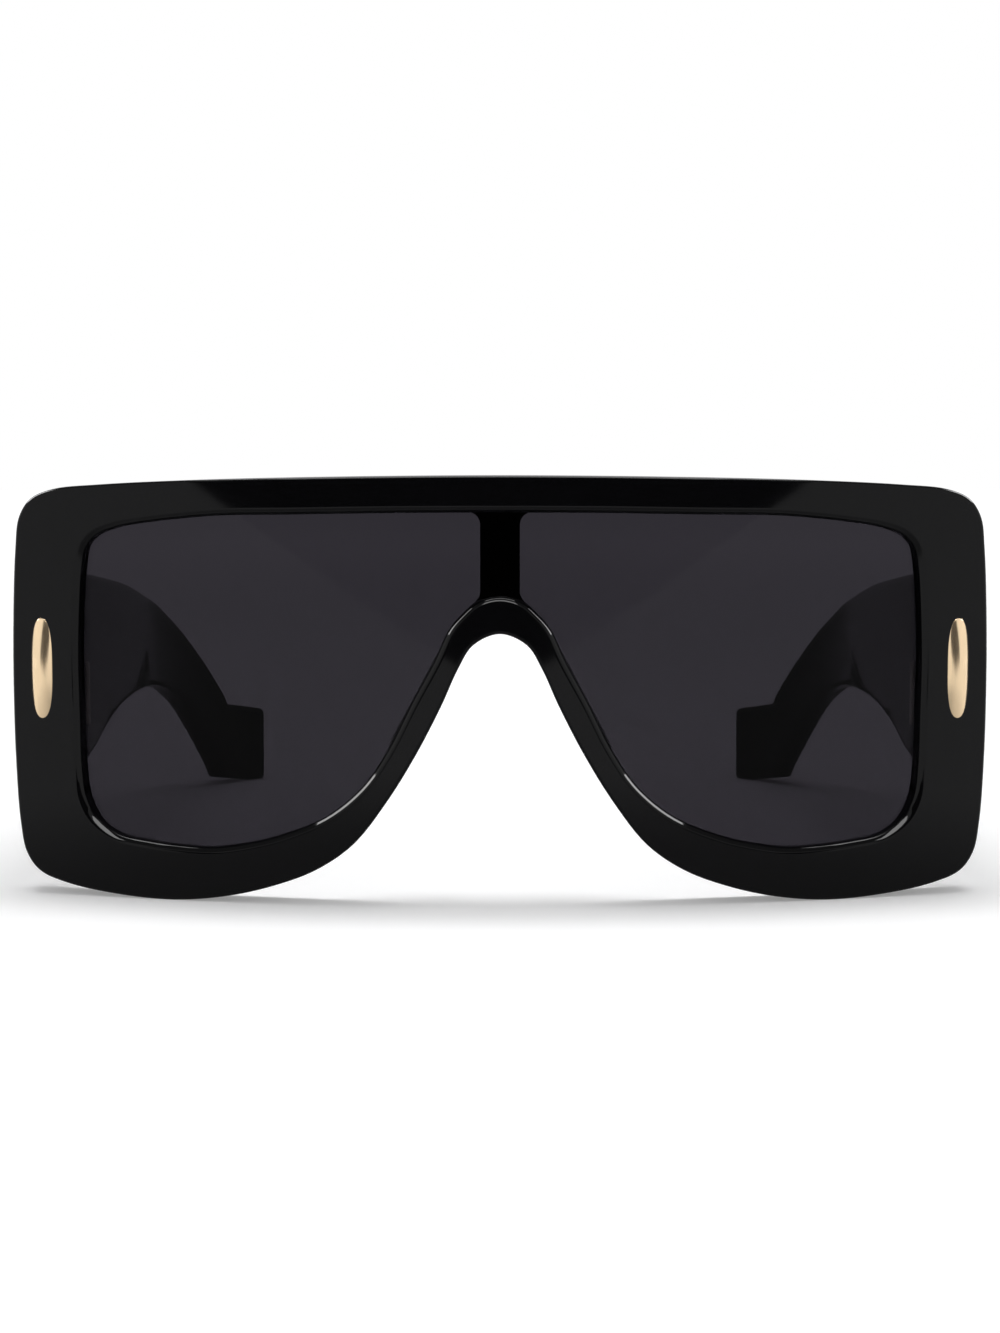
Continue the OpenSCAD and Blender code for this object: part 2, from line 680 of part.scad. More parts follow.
module right_arm_core_wire() {
    color([0.6, 0.6, 0.6]) right_side() arm_core_wire();
}

front_frame();
shield_lens();
left_nose_pad();
right_nose_pad();
left_corner_inlay();
right_corner_inlay();
left_front_hinge_leaf();
right_front_hinge_leaf();
left_front_leaf_screws();
right_front_leaf_screws();
left_hinge_screw();
right_hinge_screw();
left_arm();
right_arm();
left_arm_hinge_leaf();
right_arm_hinge_leaf();
left_arm_leaf_screws();
right_arm_leaf_screws();
left_arm_core_wire();
right_arm_core_wire();
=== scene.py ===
"""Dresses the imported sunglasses: the polished front and arms, the smoke lens, the gold inlays, the nose
pads, the hinges and screws, their finishes, and a plain studio.
Lengths are in metres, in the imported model's own frame."""

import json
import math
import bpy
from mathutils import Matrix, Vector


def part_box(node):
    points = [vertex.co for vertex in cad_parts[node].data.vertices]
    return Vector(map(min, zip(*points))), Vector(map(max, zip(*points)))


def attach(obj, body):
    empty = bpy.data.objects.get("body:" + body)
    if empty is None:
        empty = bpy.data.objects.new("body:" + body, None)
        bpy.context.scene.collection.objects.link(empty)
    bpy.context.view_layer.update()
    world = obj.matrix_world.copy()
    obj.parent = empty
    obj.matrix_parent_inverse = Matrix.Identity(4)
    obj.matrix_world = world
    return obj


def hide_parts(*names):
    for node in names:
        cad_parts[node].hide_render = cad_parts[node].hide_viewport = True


bl_info = {
    "name": "Oversized sunglasses",
    "version": (1, 0, 0),
    "blender": (4, 5, 0),
    "location": "3D View > Sidebar > Sunglasses",
    "description": "Builds the looks of a pair of oversized shield sunglasses round their packed model",
    "category": "Add Mesh",
}

import bmesh
import bpy
from bmesh.types import BMEdge, BMFace, BMVert
from bpy.props import FloatProperty, FloatVectorProperty, PointerProperty
from mathutils import Matrix, Vector

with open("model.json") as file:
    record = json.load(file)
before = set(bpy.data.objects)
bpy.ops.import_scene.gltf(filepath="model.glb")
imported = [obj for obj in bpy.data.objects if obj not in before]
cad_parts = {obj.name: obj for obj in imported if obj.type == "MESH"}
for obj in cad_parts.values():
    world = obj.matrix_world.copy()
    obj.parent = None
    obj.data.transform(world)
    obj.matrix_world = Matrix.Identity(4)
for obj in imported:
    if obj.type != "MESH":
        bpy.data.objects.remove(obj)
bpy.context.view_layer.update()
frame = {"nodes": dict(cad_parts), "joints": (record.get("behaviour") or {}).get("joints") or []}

MM = 0.001
NEAR = 1e-6  # two lengths that differ by less are the same
TOUCH = 10 * NEAR  # a point this close to a surface lies on it
X, Y, Z = range(3)
SIDES = ("left", "right")

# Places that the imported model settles: the foremost point, the plane where the arms meet the front, and the
# left hinge's axis
FRONT_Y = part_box("front_frame")[0].y
BUTT_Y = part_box("front_frame")[1].y
HINGE = Vector(frame["joints"][0]["pos_m"])
HINGE_BACK = HINGE.y - BUTT_Y

# The lugs that carry the hinges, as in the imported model
LUG_BOTTOM, LUG_TOP = 15.6 * MM, 48.6 * MM
LUG_INNER = 64.8 * MM  # from the middle

# The hinge leaves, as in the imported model: their seats are sunk into the front and the arms
LEAF_THICK = 1.2 * MM
FRONT_LEAF_RIM = 1.1 * MM  # how far the front's leaf reaches inside the hinge's axis
ARM_LEAF_LONG, ARM_LEAF_TALL = 12.6 * MM, 8.8 * MM

# Clearances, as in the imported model
FIT_GAP = 0.03 * MM
GROOVE_GAP = 0.08 * MM
BUTT_GAP = 0.15 * MM

# The lens starts to be wider at this distance from the middle, and grows wider over this length
EASE_START, EASE_RUN = 15 * MM, 25 * MM

# Smoothness
OUTLINE_STEPS = 6  # straight pieces in one stretch of an outline
ROUND_STEPS = 6  # straight pieces in a rounded edge
SOFT_STEPS = 4  # straight pieces in a softened edge, and in a rounded one at the back
CORNER_STEPS = 5  # straight pieces in a corner beside the brace, and round the end of a foot
BRACE_STEPS = 6  # straight pieces along the brace
HOLD = 0.2 * MM  # width of the narrow strip that keeps a flat face's shading flat beside its rounded edge
STRIP = 2 * MM  # width of the upright strips that a curved face is cut into
LEDGE_STRIP = 8 * MM  # the same on the ledge that the lens covers
ARM_STEP, CURL_STEP, FOOT_STEP = 3 * MM, 1.6 * MM, 0.7 * MM  # between two sections of an arm
ARM_AHEAD = 1 * MM  # how far the first section stands ahead of the butt, where the arm is cut off
FOOT_LEAD = 5 * MM  # how far before the sole the sections of the foot start
SHARP = math.radians(32)  # edges that turn more are drawn sharp
FLAT = math.radians(1)  # faces that turn less are joined

# Half of the front's outline, from the middle of its top edge round to the middle of the nose arch, as shares
# of half the front's width and of its height, and half of the lens opening's outline in the same way
FRONT_SHARES = (
    (0, 1), (0.307, 0.997), (0.6, 0.989), (0.813, 0.977), (0.908, 0.966), (0.957, 0.943), (0.983, 0.899),
    (0.992, 0.823), (0.999, 0.637), (1, 0.466), (0.997, 0.31), (0.989, 0.171), (0.976, 0.096), (0.947, 0.053),
    (0.887, 0.027), (0.78, 0.007), (0.66, 0), (0.553, 0.013), (0.453, 0.042), (0.367, 0.082), (0.293, 0.143),
    (0.227, 0.241), (0.167, 0.354), (0.116, 0.469), (0.083, 0.554), (0.053, 0.609), (0, 0.635),
)
OPENING_SHARES = (
    (0, 0.914), (0.199, 0.913), (0.4, 0.909), (0.568, 0.905), (0.71, 0.888), (0.773, 0.875), (0.811, 0.857),
    (0.834, 0.827), (0.843, 0.777), (0.849, 0.68), (0.852, 0.563), (0.85, 0.43), (0.847, 0.3),
    (0.839, 0.235), (0.817, 0.188), (0.773, 0.152), (0.712, 0.138), (0.643, 0.13), (0.572, 0.128),
    (0.504, 0.14), (0.436, 0.161), (0.347, 0.206), (0.275, 0.275), (0.225, 0.358), (0.173, 0.478),
    (0.13, 0.571), (0.1, 0.646), (0.075, 0.68), (0.044, 0.71), (0, 0.723),
)
# An arm's edges: shares of a length along it, and of a rise or drop
ARM_TOP_SHARES = (
    (0, 1), (0.143, 0.986), (0.246, 0.961), (0.405, 0.904), (0.517, 0.858), (0.604, 0.809), (0.707, 0.74),
    (0.755, 0.692), (0.8, 0.621), (0.853, 0.518), (0.899, 0.395), (0.94, 0.257), (0.984, 0.08), (1, 0),
)
ARM_RISE_SHARES = (
    (0, 0), (0.15, 0), (0.232, 0.07), (0.301, 0.17), (0.389, 0.32), (0.513, 0.62), (0.64, 0.82),
    (0.756, 0.93), (0.878, 0.985), (1, 1),
)
ARM_FALL_SHARES = (
    (0, 1), (0.223, 0.987), (0.382, 0.965), (0.515, 0.905), (0.674, 0.746), (0.813, 0.5), (0.935, 0.22),
    (0.981, 0.085), (1, 0),
)
ARM_ARCH_SHARE = 0.58  # where the lower edge is highest, of the arm's length
NARROW_START, NARROW_END = 0.8, 0.9  # where the edges' rounding narrows, of the arm's length
ROUND_LIMIT = 0.45  # the widest rounding, of the arm's thickness
SIDE_STEP = 0.5 * MM  # of an arm's outer face, inside the front's outer edge
SOLE_CUT = 0.2 * MM  # how far a foot's end reaches under the surface before it is cut flat
FLARE_SHARE = 0.36  # how far beside the brace the opening's lower edge ends, of the brace's flare

# The inlays, the nose pads and the small metal
INLAY_BLUNT = 2.8  # how blunt an inlay's ends are: 2 makes an ellipse
INLAY_DEEP = 1.2 * MM  # how far it is let into the front
INLAY_STEPS = 64  # straight pieces along it and round it
INLAY_TIP = 0.999  # where the shaping of its dome ends, of its length
PAD_TOP_SHARE = (0.1065, 0.5625)  # of half the front's width and of its height
PAD_BOTTOM_SHARE = (0.196, 0.356)
PAD_WIDE = 2.3  # a pad's width, in radii of its edge
PAD_SLIM = 0.22  # how much of that it loses towards its upper end
PAD_LEAN = 0.5 * MM  # how far its back leans outwards, as the side of a nose does
PAD_CAGE_DEEP, PAD_CAGE_TALL = 1.12, 1.1  # the cage that is smoothed into a pad is larger by this
LEAF_EDGE, SCREW_EDGE = 0.08 * MM, 0.05 * MM  # width of the broken edges of leaves and screws

# The paper that the object stands on: its reach to the back and the sides, and its end under the camera
PAPER_REACH, PAPER_END = 4, 0.464

# The camera, as fitted to the photograph: lens and film in millimetres, place, and degrees under level
CAMERA_LENS, FILM = 70.41, 36
CAMERA_BACK, CAMERA_UP = 0.3854, 0.06797
CAMERA_DOWN = 4.7256


def linear(hex_colour):
    """An sRGB hex colour, such as "#EECEA7", as linear red, green and blue."""
    parts = [int(hex_colour[i:i + 2], 16) / 255 for i in (1, 3, 5)]
    return [c / 12.92 if c <= 0.04045 else ((c + 0.055) / 1.055) ** 2.4 for c in parts]


def length(name, description, millimetres):
    """A length that the user can change."""
    return FloatProperty(name=name, description=description, default=millimetres * MM, unit="LENGTH",
                         precision=5)


def colour(name, description, hex_colour):
    """A colour that the user can change."""
    return FloatVectorProperty(name=name, description=description, default=linear(hex_colour), size=3,
                               subtype="COLOR", min=0, max=1)


class FrontSizes(bpy.types.PropertyGroup):
    """Sizes of the front and its lens."""
    width: length("Width", "Width of the front across its outer edges", 150)
    height: length("Height", "Height of the front at its middle", 64.4)
    face_radius: length("Face radius", "Radius of the front's outer face, seen from above", 200)
    thickness: length("Thickness", "Thickness of the front", 6.2)
    edge_round: length("Edge rounding", "Rounding of the front's outer edges", 0.45)
    opening_bevel: length("Opening bevel", "Width of the bevel round the lens opening", 0.75)
    bevel_soft: length("Bevel softening", "How far polishing has softened both edges of the bevel", 0.32)
    back_round: length("Back rounding", "Rounding of the two eye openings at the back", 0.4)
    brace_width: length("Brace width", "Width of the upright brace behind the lens", 6)
    brace_flare: length("Brace flare", "Radius where the brace meets the frame", 1.8)
    lens_recess: length("Lens recess", "Depth of the lens behind the face", 2.2)
    lens_thickness: length("Lens thickness", "Thickness of the lens", 2)
    lens_grip: length("Lens grip", "How far the lens reaches into its groove", 1)
    side_ease: length("Side ease", "How much wider the lens and the opening behind it are towards the sides",
                      1.5)


class ArmSizes(bpy.types.PropertyGroup):
    """Sizes of an arm."""
    thickness: length("Thickness", "Thickness of an arm at its hinge", 6)
    tip_thickness: length("Tip thickness", "Thickness of an arm at its foot", 4.8)
    length: length("Length", "Length along the inner face, from the front to the end of the foot", 137.5)
    straight: length("Straight run", "Length of the run before the curl", 84)
    curl_radius: length("Curl radius", "Radius of the inner face where it curls inwards", 84)
    root_top: length("Root top", "Height of the upper edge at the hinge", 48.6)
    root_bottom: length("Root bottom", "Height of the lower edge at the hinge", 15.6)
    arch_height: length("Arch height", "Greatest height of the lower edge", 23.2)
    edge_round: length("Edge rounding", "Rounding of the long edges", 1.5)
    foot_height: length("Foot height", "Height of the foot at its end", 14.5)
    foot_length: length("Foot length", "Length of the foot's upper edge", 11.5)
    sole_length: length("Sole length", "Length of the foot's lower edge", 12)
    sole_flat: length("Flat sole", "Length of the end of the sole that stands flat", 5)
    foot_round: length("Foot rounding", "Rounding of the foot's edges", 1)
    foot_tilt: FloatProperty(name="Foot tilt", description="Angle at which the foot points down",
                             default=math.radians(9.5), subtype="ANGLE")
    toe: FloatProperty(name="Toe", description="Angle at which an arm leans inwards from its hinge",
                       default=math.radians(1.4), subtype="ANGLE")


class TrimSizes(bpy.types.PropertyGroup):
    """Sizes of the inlays and nose pads."""
    inlay_height: length("Inlay height", "Height of an oval inlay", 16)
    inlay_width: length("Inlay width", "Width of an inlay at the face", 3.6)
    inlay_rise: length("Inlay rise", "How far an inlay stands out of the face", 1.1)
    inlay_edge: length("Inlay edge", "Distance from the front's outer edge to an inlay's middle", 4.8)
    inlay_middle: length("Inlay middle", "Height of an inlay's middle", 34.8)
    pad_round: length("Pad rounding", "Radius of a nose pad's edge", 1.6)


class FinishColours(bpy.types.PropertyGroup):
    """Colours of the finishes."""
    acetate: colour("Acetate", "Polished black acetate of the front and arms", "#08080A")
    pads: colour("Pads", "Tumbled black acetate of the nose pads", "#0B0B0C")
    lens: colour("Lens", "Smoke tint of the polycarbonate lens", "#2C2A2F")
    gold: colour("Gold", "Pale gold plating of the inlays", "#F3D8B2")
    nickel: colour("Nickel silver", "Satin nickel silver of the hinge leaves", "#C9C4BA")
    steel: colour("Steel", "Turned steel of the screws", "#C4C4C6")
    wire: colour("Wire", "Drawn wire inside the arms", "#A9A8A6")
    floor: colour("Floor", "Plain pale floor", "#F4F4F5")


# Outlines


def curve_point(p0, p1, p2, p3, share):
    """A point between p1 and p2 of a curve through all four.
    Its knots are spaced by the square roots of the distances, so that it makes no loops."""
    t1 = math.sqrt((p1 - p0).length)
    t2 = t1 + math.sqrt((p2 - p1).length)
    t3 = t2 + math.sqrt((p3 - p2).length)
    t = t1 + (t2 - t1) * share

    def blend(p, q, a, b):
        return (b - t) / (b - a) * p + (t - a) / (b - a) * q

    a, b, c = blend(p0, p1, 0, t1), blend(p1, p2, t1, t2), blend(p2, p3, t2, t3)
    return blend(blend(a, b, 0, t2), blend(b, c, t1, t3), t1, t2)


def outline(shares, front):
    """A closed outline, seen from the front and running clockwise, from the shares of its half."""
    half = [Vector((x * front.width / 2, z * front.height)) for x, z in shares]
    whole = half + [Vector((-p.x, p.y)) for p in reversed(half[1:-1])]
    n = len(whole)
    return [curve_point(whole[i - 1], whole[i], whole[(i + 1) % n], whole[(i + 2) % n], k / OUTLINE_STEPS)
            for i in range(n) for k in range(OUTLINE_STEPS)]


def grown(points, distance):
    """A clockwise outline, moved outwards."""
    n = len(points)
    runs = [(points[(i + 1) % n] - points[i - 1]).normalized() for i in range(n)]
    return [p + distance * Vector((-run.y, run.x)) for p, run in zip(points, runs)]


def height_at(table, u):
    """The height of a table of shares at u, smooth through every row."""
    i = max(k for k in range(len(table) - 1) if k == 0 or table[k][0] <= u)

    def slope(k):
        if k in (0, len(table) - 1):
            return 0
        return (table[k + 1][1] - table[k - 1][1]) / (table[k + 1][0] - table[k - 1][0])

    w = table[i + 1][0] - table[i][0]
    t = min(max((u - table[i][0]) / w, 0), 1)
    return (table[i][1] * (1 + 2 * t) * (1 - t) ** 2 + table[i + 1][1] * t * t * (3 - 2 * t)
            + w * (slope(i) * t * (1 - t) ** 2 - slope(i + 1) * t * t * (1 - t)))


def eased(t):
    """Rises from 0 to 1 as t does, slowly at both ends."""
    t = min(max(t, 0), 1)
    return t * t * (3 - 2 * t)


def widened(points, distance, front):
    """A clockwise outline, moved outwards, and further towards the sides."""
    return [p + (out - p) * (distance + front.side_ease * eased((abs(p.x) - EASE_START) / EASE_RUN))
            for p, out in zip(points, grown(points, 1))]


def quarter(size, steps=ROUND_STEPS):
    """A rounded edge from the face to the wall: how far in from the wall, and how deep behind the face."""
    turns = [math.pi / 2 * k / steps for k in range(steps + 1)]
    return [(size * (1 - math.sin(a)), size * (1 - math.cos(a))) for a in turns]


def chamfer(size, soft):
    """A flat chamfer from the face to the wall, in the same way, with both its edges softened."""
    run = soft * math.sqrt(0.5)
    result = []
    for before, corner, after in (((size + soft, 0), (size, 0), (size - run, run)),
                                  ((run, size - run), (0, size), (0, size + soft))):
        for t in (k / SOFT_STEPS for k in range(SOFT_STEPS + 1)):
            result.append(tuple((1 - t) ** 2 * a + 2 * t * (1 - t) * b + t * t * c
                                for a, b, c in zip(before, corner, after)))
    return result


# Mesh tools


def only(kind, geom):
    """The vertices, the edges or the faces of what an operator gives back."""
    return [g for g in geom if isinstance(g, kind)]


def loop(bm, points):
    """A closed loop of edges through the points."""
    verts = [bm.verts.new(p) for p in points]
    return [bm.edges.new((a, b)) for a, b in zip(verts, verts[1:] + verts[:1])]


def skin(bm, rings):
    """Extrudes a ring of points through the others, and returns the first and the last loop of edges."""
    first = edges = loop(bm, rings[0])
    places = {v: k for k, v in enumerate(dict.fromkeys(v for e in edges for v in e.verts))}
    for ring in rings[1:]:
        made = bmesh.ops.extrude_edge_only(bm, edges=edges)["geom"]
        verts = only(BMVert, made)
        olds = [next(e.other_vert(v) for e in v.link_edges if e.other_vert(v) in places) for v in verts]
        places = {v: places[old] for v, old in zip(verts, olds)}
        edges = [e for e in only(BMEdge, made) if all(v in places for v in e.verts)]
        for v, k in places.items():
            v.co = ring[k]
    return first, edges


def planes(axis, *places):
    """Planes square to an axis, each as a point and a normal."""
    normal = Vector([float(k == axis) for k in range(3)])
    return [(normal * place, normal) for place in places]


def bisect(bm, faces, point, normal):
    """Cuts faces along a plane."""
    geom = list({v for face in faces for v in face.verts} | {e for face in faces for e in face.edges}) + faces
    bmesh.ops.bisect_plane(bm, geom=geom, plane_co=point, plane_no=normal, dist=NEAR)


def cut_off(bm, point, normal):
    """Cuts off what lies behind a plane, and closes the cut."""
    cut = bmesh.ops.bisect_plane(bm, geom=bm.verts[:] + bm.edges[:] + bm.faces[:], plane_co=point,
                                 plane_no=normal, dist=NEAR, clear_inner=True)["geom_cut"]
    bmesh.ops.contextual_create(bm, geom=only(BMEdge, cut))


def fill(bm, loops, step):
    """Fills the flat area between loops and cuts it into upright strips."""
    edges = [e for one in loops for e in one]
    faces = only(BMFace, bmesh.ops.triangle_fill(bm, edges=edges, use_beauty=True)["geom"])
    # While they are cut, the new faces are marked by the number of their material
    for face in faces:
        face.material_index = 1
    places = [v.co.x for face in faces for v in face.verts]
    count = math.floor((max(places) - min(places)) / step)
    middle = (max(places) + min(places)) / 2
    for point, normal in planes(X, *(middle + (k - (count - 1) / 2) * step for k in range(count))):
        bisect(bm, [face for face in bm.faces if face.material_index == 1], point, normal)
    slanted = [e for e in bm.edges
               if len(e.link_faces) == 2 and all(face.material_index == 1 for face in e.link_faces)
               and abs(e.verts[0].co.x - e.verts[1].co.x) > TOUCH]
    bmesh.ops.dissolve_edges(bm, edges=slanted, use_verts=False)
    for face in bm.faces:
        face.material_index = 0


def sink(bm, cuts, inside, shift):
    """Cuts the faces that pass the test along planes, and moves what lies inside."""
    for point, normal in cuts:
        near = {v for face in bm.faces if inside(face.calc_center_median()) for v in face.verts}
        bisect(bm, list({face for v in near for face in v.link_faces}), point, normal)
    faces = [face for face in bm.faces if inside(face.calc_center_median())]
    moved = bmesh.ops.extrude_face_region(bm, geom=faces)["geom"]
    bmesh.ops.delete(bm, geom=faces, context="FACES")
    for v in only(BMVert, moved):
        v.co = shift(v.co)


def sink_seat(bm, axis, level, depth, ends):
    """Sinks a seat into the flat face that lies at a level of one axis, between its ends on the other two."""
    def inside(p):
        return abs(p[axis] - level) < TOUCH and all(low < p[k] < high for k, (low, high) in ends.items())

    cuts = [cut for k, pair in ends.items() for cut in planes(k, *pair)]
    shift = Vector([depth * (k == axis) for k in range(3)])
    sink(bm, cuts, inside, lambda p: p + shift)


def to_object(bm, name, finish):
    """Turns a bmesh into an object with one finish."""
    mesh = bpy.data.meshes.new(name)
    bm.to_mesh(mesh)
    bm.free()
    mesh.materials.append(finish)
    made = bpy.data.objects.new(name, mesh)
    bpy.context.scene.collection.objects.link(made)
    return made


def finish_piece(bm, name, body, nodes, finish, sharp=SHARP):
    """Turns a bmesh into a piece that rides on a body and stands for CAD nodes."""
    bmesh.ops.remove_doubles(bm, verts=bm.verts[:], dist=NEAR)
    bmesh.ops.recalc_face_normals(bm, faces=bm.faces[:])
    for face in bm.faces:
        face.smooth = True
    for edge in bm.edges:
        edge.smooth = len(edge.link_faces) == 2 and edge.calc_face_angle(math.pi) < sharp
    piece = to_object(bm, name, finish)
    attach(piece, body)
    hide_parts(*nodes)
    return piece


def mirrored(bm):
    """The same shape on the other side."""
    bmesh.ops.scale(bm, vec=(-1, 1, 1), verts=bm.verts[:])
    bmesh.ops.reverse_faces(bm, faces=bm.faces[:])


# The front's own space


def axis_y(front):
    """Where the upright axis stands that the front is curved round."""
    return FRONT_Y + front.face_radius


def lens_radius(front):
    """Radius of the lens's outer face."""
    return front.face_radius - front.lens_recess


def flat(points, depth, front=None):
    """Points of an outline in the front's flat space: x along the lens's outer face, y the depth behind the
    face. With front, the outline is drawn straight back instead of square to the curved face."""
    scale = lens_radius(front) / (front.face_radius - depth) if front else 1
    return [Vector((p.x * scale, depth, p.y)) for p in points]


def bend(bm, front):
    """Wraps the flat space round the front's upright axis."""
    for v in bm.verts:
        turn = math.asin(v.co.x / lens_radius(front))
        radius = front.face_radius - v.co.y
        v.co = Vector((radius * math.sin(turn), axis_y(front) - radius * math.cos(turn), v.co.z))


def eye_outline(opening, front):
    """One of the two openings beside the brace, clockwise, with its corners at the brace rounded."""
    beside, flare = front.brace_width / 2, front.brace_flare
    half = opening[:len(opening) // 2 + 1]
    low = max(k for k, p in enumerate(half) if p.x > beside + FLARE_SHARE * flare)
    high = min(k for k, p in enumerate(half) if p.x > beside + flare)

    def arc(centre, start, turn):
        angles = (start + turn * k / CORNER_STEPS for k in range(CORNER_STEPS + 1))
        return [centre + flare * Vector((math.cos(a), math.sin(a))) for a in angles]

    # The lower corner's middle, from which its rounding meets both the brace and the slanted lower edge
    touch = half[low]
    run = (half[low + 1] - touch).normalized()
    centre = Vector((beside + flare, touch.y - run.x * flare))
    start = math.atan2(touch.y - centre.y, touch.x - centre.x) % (2 * math.pi)
    lower = arc(centre, start, math.pi - start)[1:]
    upper = arc(Vector((beside + flare, half[0].y - flare)), math.pi, -math.pi / 2)
    side = [lower[-1].lerp(upper[0], k / BRACE_STEPS) for k in range(1, BRACE_STEPS)]
    return half[high:low + 1] + lower + side + upper


class SUNGLASSES_OT_front(bpy.types.Operator):
    """Build the one-piece front with its lens groove, its brace and the lugs that carry the hinges"""
    bl_idname = "sunglasses.front"
    bl_label = "Front"

    def execute(self, context):
        front = context.scene.sunglasses_front
        edge, bevel, soft, back = front.edge_round, front.opening_bevel, front.bevel_soft, front.back_round
        outer, opening = outline(FRONT_SHARES, front), outline(OPENING_SHARES, front)
        lip = front.lens_recess + front.lens_thickness + GROOVE_GAP
        reach = front.lens_grip + GROOVE_GAP
        bm = bmesh.new()

        # Outside: from the face over its rounded edge to the back
        rim = [(edge + HOLD, 0)] + quarter(edge) + [(0, edge + HOLD)]
        rim += [(inwards, front.thickness - depth) for inwards, depth in reversed(rim)]
        outside = skin(bm, [flat(grown(outer, -inwards), depth, front) for inwards, depth in rim])

        # Inside: from the face into the lens groove
        sight = [(bevel + soft + HOLD, 0)] + chamfer(bevel, soft)
        sight += [(0, front.lens_recess - GROOVE_GAP)]
        groove = widened(opening, reach, front)
        inside = skin(bm, [flat(grown(opening, outwards), depth) for outwards, depth in sight]
                      + [flat(groove, depth) for depth in (front.lens_recess - GROOVE_GAP, lip)])

        # The two eye openings behind the lens, either side of the brace
        right = eye_outline(widened(opening, 0, front), front)
        eyes = [right, [Vector((-p.x, p.y)) for p in reversed(right)]]
        ledge, back_edges = [], []
        for eye in eyes:
            rounded = reversed(quarter(back, SOFT_STEPS))
            wall = [(0, lip), (0, front.thickness - back - HOLD)]
            wall += [(inwards, front.thickness - depth) for inwards, depth in rounded]
            wall += [(back + HOLD, front.thickness)]
            near, far = skin(bm, [flat(grown(eye, outwards), depth) for outwards, depth in wall])
            ledge.append(near)
            back_edges.append(far)

        fill(bm, [outside[0], inside[0]], STRIP)
        fill(bm, [inside[-1]] + ledge, LEDGE_STRIP)
        fill(bm, [outside[-1]] + back_edges, STRIP)
        bend(bm, front)
        bmesh.ops.recalc_face_normals(bm, faces=bm.faces[:])
        for side in (1, -1):
            self.lug(bm, front, side)
            self.leaf_seat(bm, side)
        piece = finish_piece(bm, "polished_front", "front", ["front_frame"],
                             acetate(context))
        self.true_normals(piece.data, front)
        return {"FINISHED"}

    def true_normals(self, mesh, front):
        """Lets the face and the back mirror as true cylinders, not as the strips that they are cut into."""
        normals = [corner.vector.copy() for corner in mesh.corner_normals]
        creased = {v for edge in mesh.edges if edge.use_edge_sharp for v in edge.vertices}
        away = [Vector((vert.co.x, vert.co.y - axis_y(front), 0)) for vert in mesh.vertices]
        for radius, out in ((front.face_radius, 1), (front.face_radius - front.thickness, -1)):
            on = {k for k, a in enumerate(away) if abs(a.length - radius) < TOUCH}
            for face in mesh.polygons:
                whole = on.issuperset(face.vertices)
                for corner, v in zip(face.loop_indices, face.vertices):
                    # Beside a crease, a corner is changed only where its whole face is part of the cylinder
                    if v in on and (whole or v not in creased):
                        normals[corner] = away[v].normalized() * out
        mesh.normals_split_custom_set(normals)

    def lug(self, bm, front, side):
        """Draws the back of one outer end straight back to the plane that the arm meets."""
        inner_radius = front.face_radius - front.thickness + front.edge_round + TOUCH

        def inside(p):
            radius = math.hypot(p.x, p.y - axis_y(front))
            return radius < inner_radius and p.x * side > LUG_INNER and LUG_BOTTOM < p.z < LUG_TOP

        sink(bm, planes(X, side * LUG_INNER) + planes(Z, LUG_BOTTOM, LUG_TOP), inside,
             lambda p: Vector((p.x, BUTT_Y, p.z)))

    def leaf_seat(self, bm, side):
        """Sinks the seat of the hinge leaf into the lug."""
        low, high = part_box("left_front_hinge_leaf")
        across = sorted(side * x for x in (HINGE.x - FRONT_LEAF_RIM - FIT_GAP, high.x + FIT_GAP))
        sink_seat(bm, Y, BUTT_Y, -LEAF_THICK - FIT_GAP, {X: across, Z: (low.z - FIT_GAP, high.z + FIT_GAP)})


class SUNGLASSES_OT_lens(bpy.types.Operator):
    """Build the one-piece lens"""
    bl_idname = "sunglasses.lens"
    bl_label = "Lens"

    def execute(self, context):
        front = context.scene.sunglasses_front
        points = widened(outline(OPENING_SHARES, front), front.lens_grip, front)
        bm = bmesh.new()
        depths = (front.lens_recess, front.lens_recess + front.lens_thickness)
        for rim in skin(bm, [flat(points, depth) for depth in depths]):
            fill(bm, [rim], STRIP)
        bend(bm, front)
        finish_piece(bm, "smoke_lens", "front", ["shield_lens"], smoke_polycarbonate(context))
        return {"FINISHED"}


# Arms


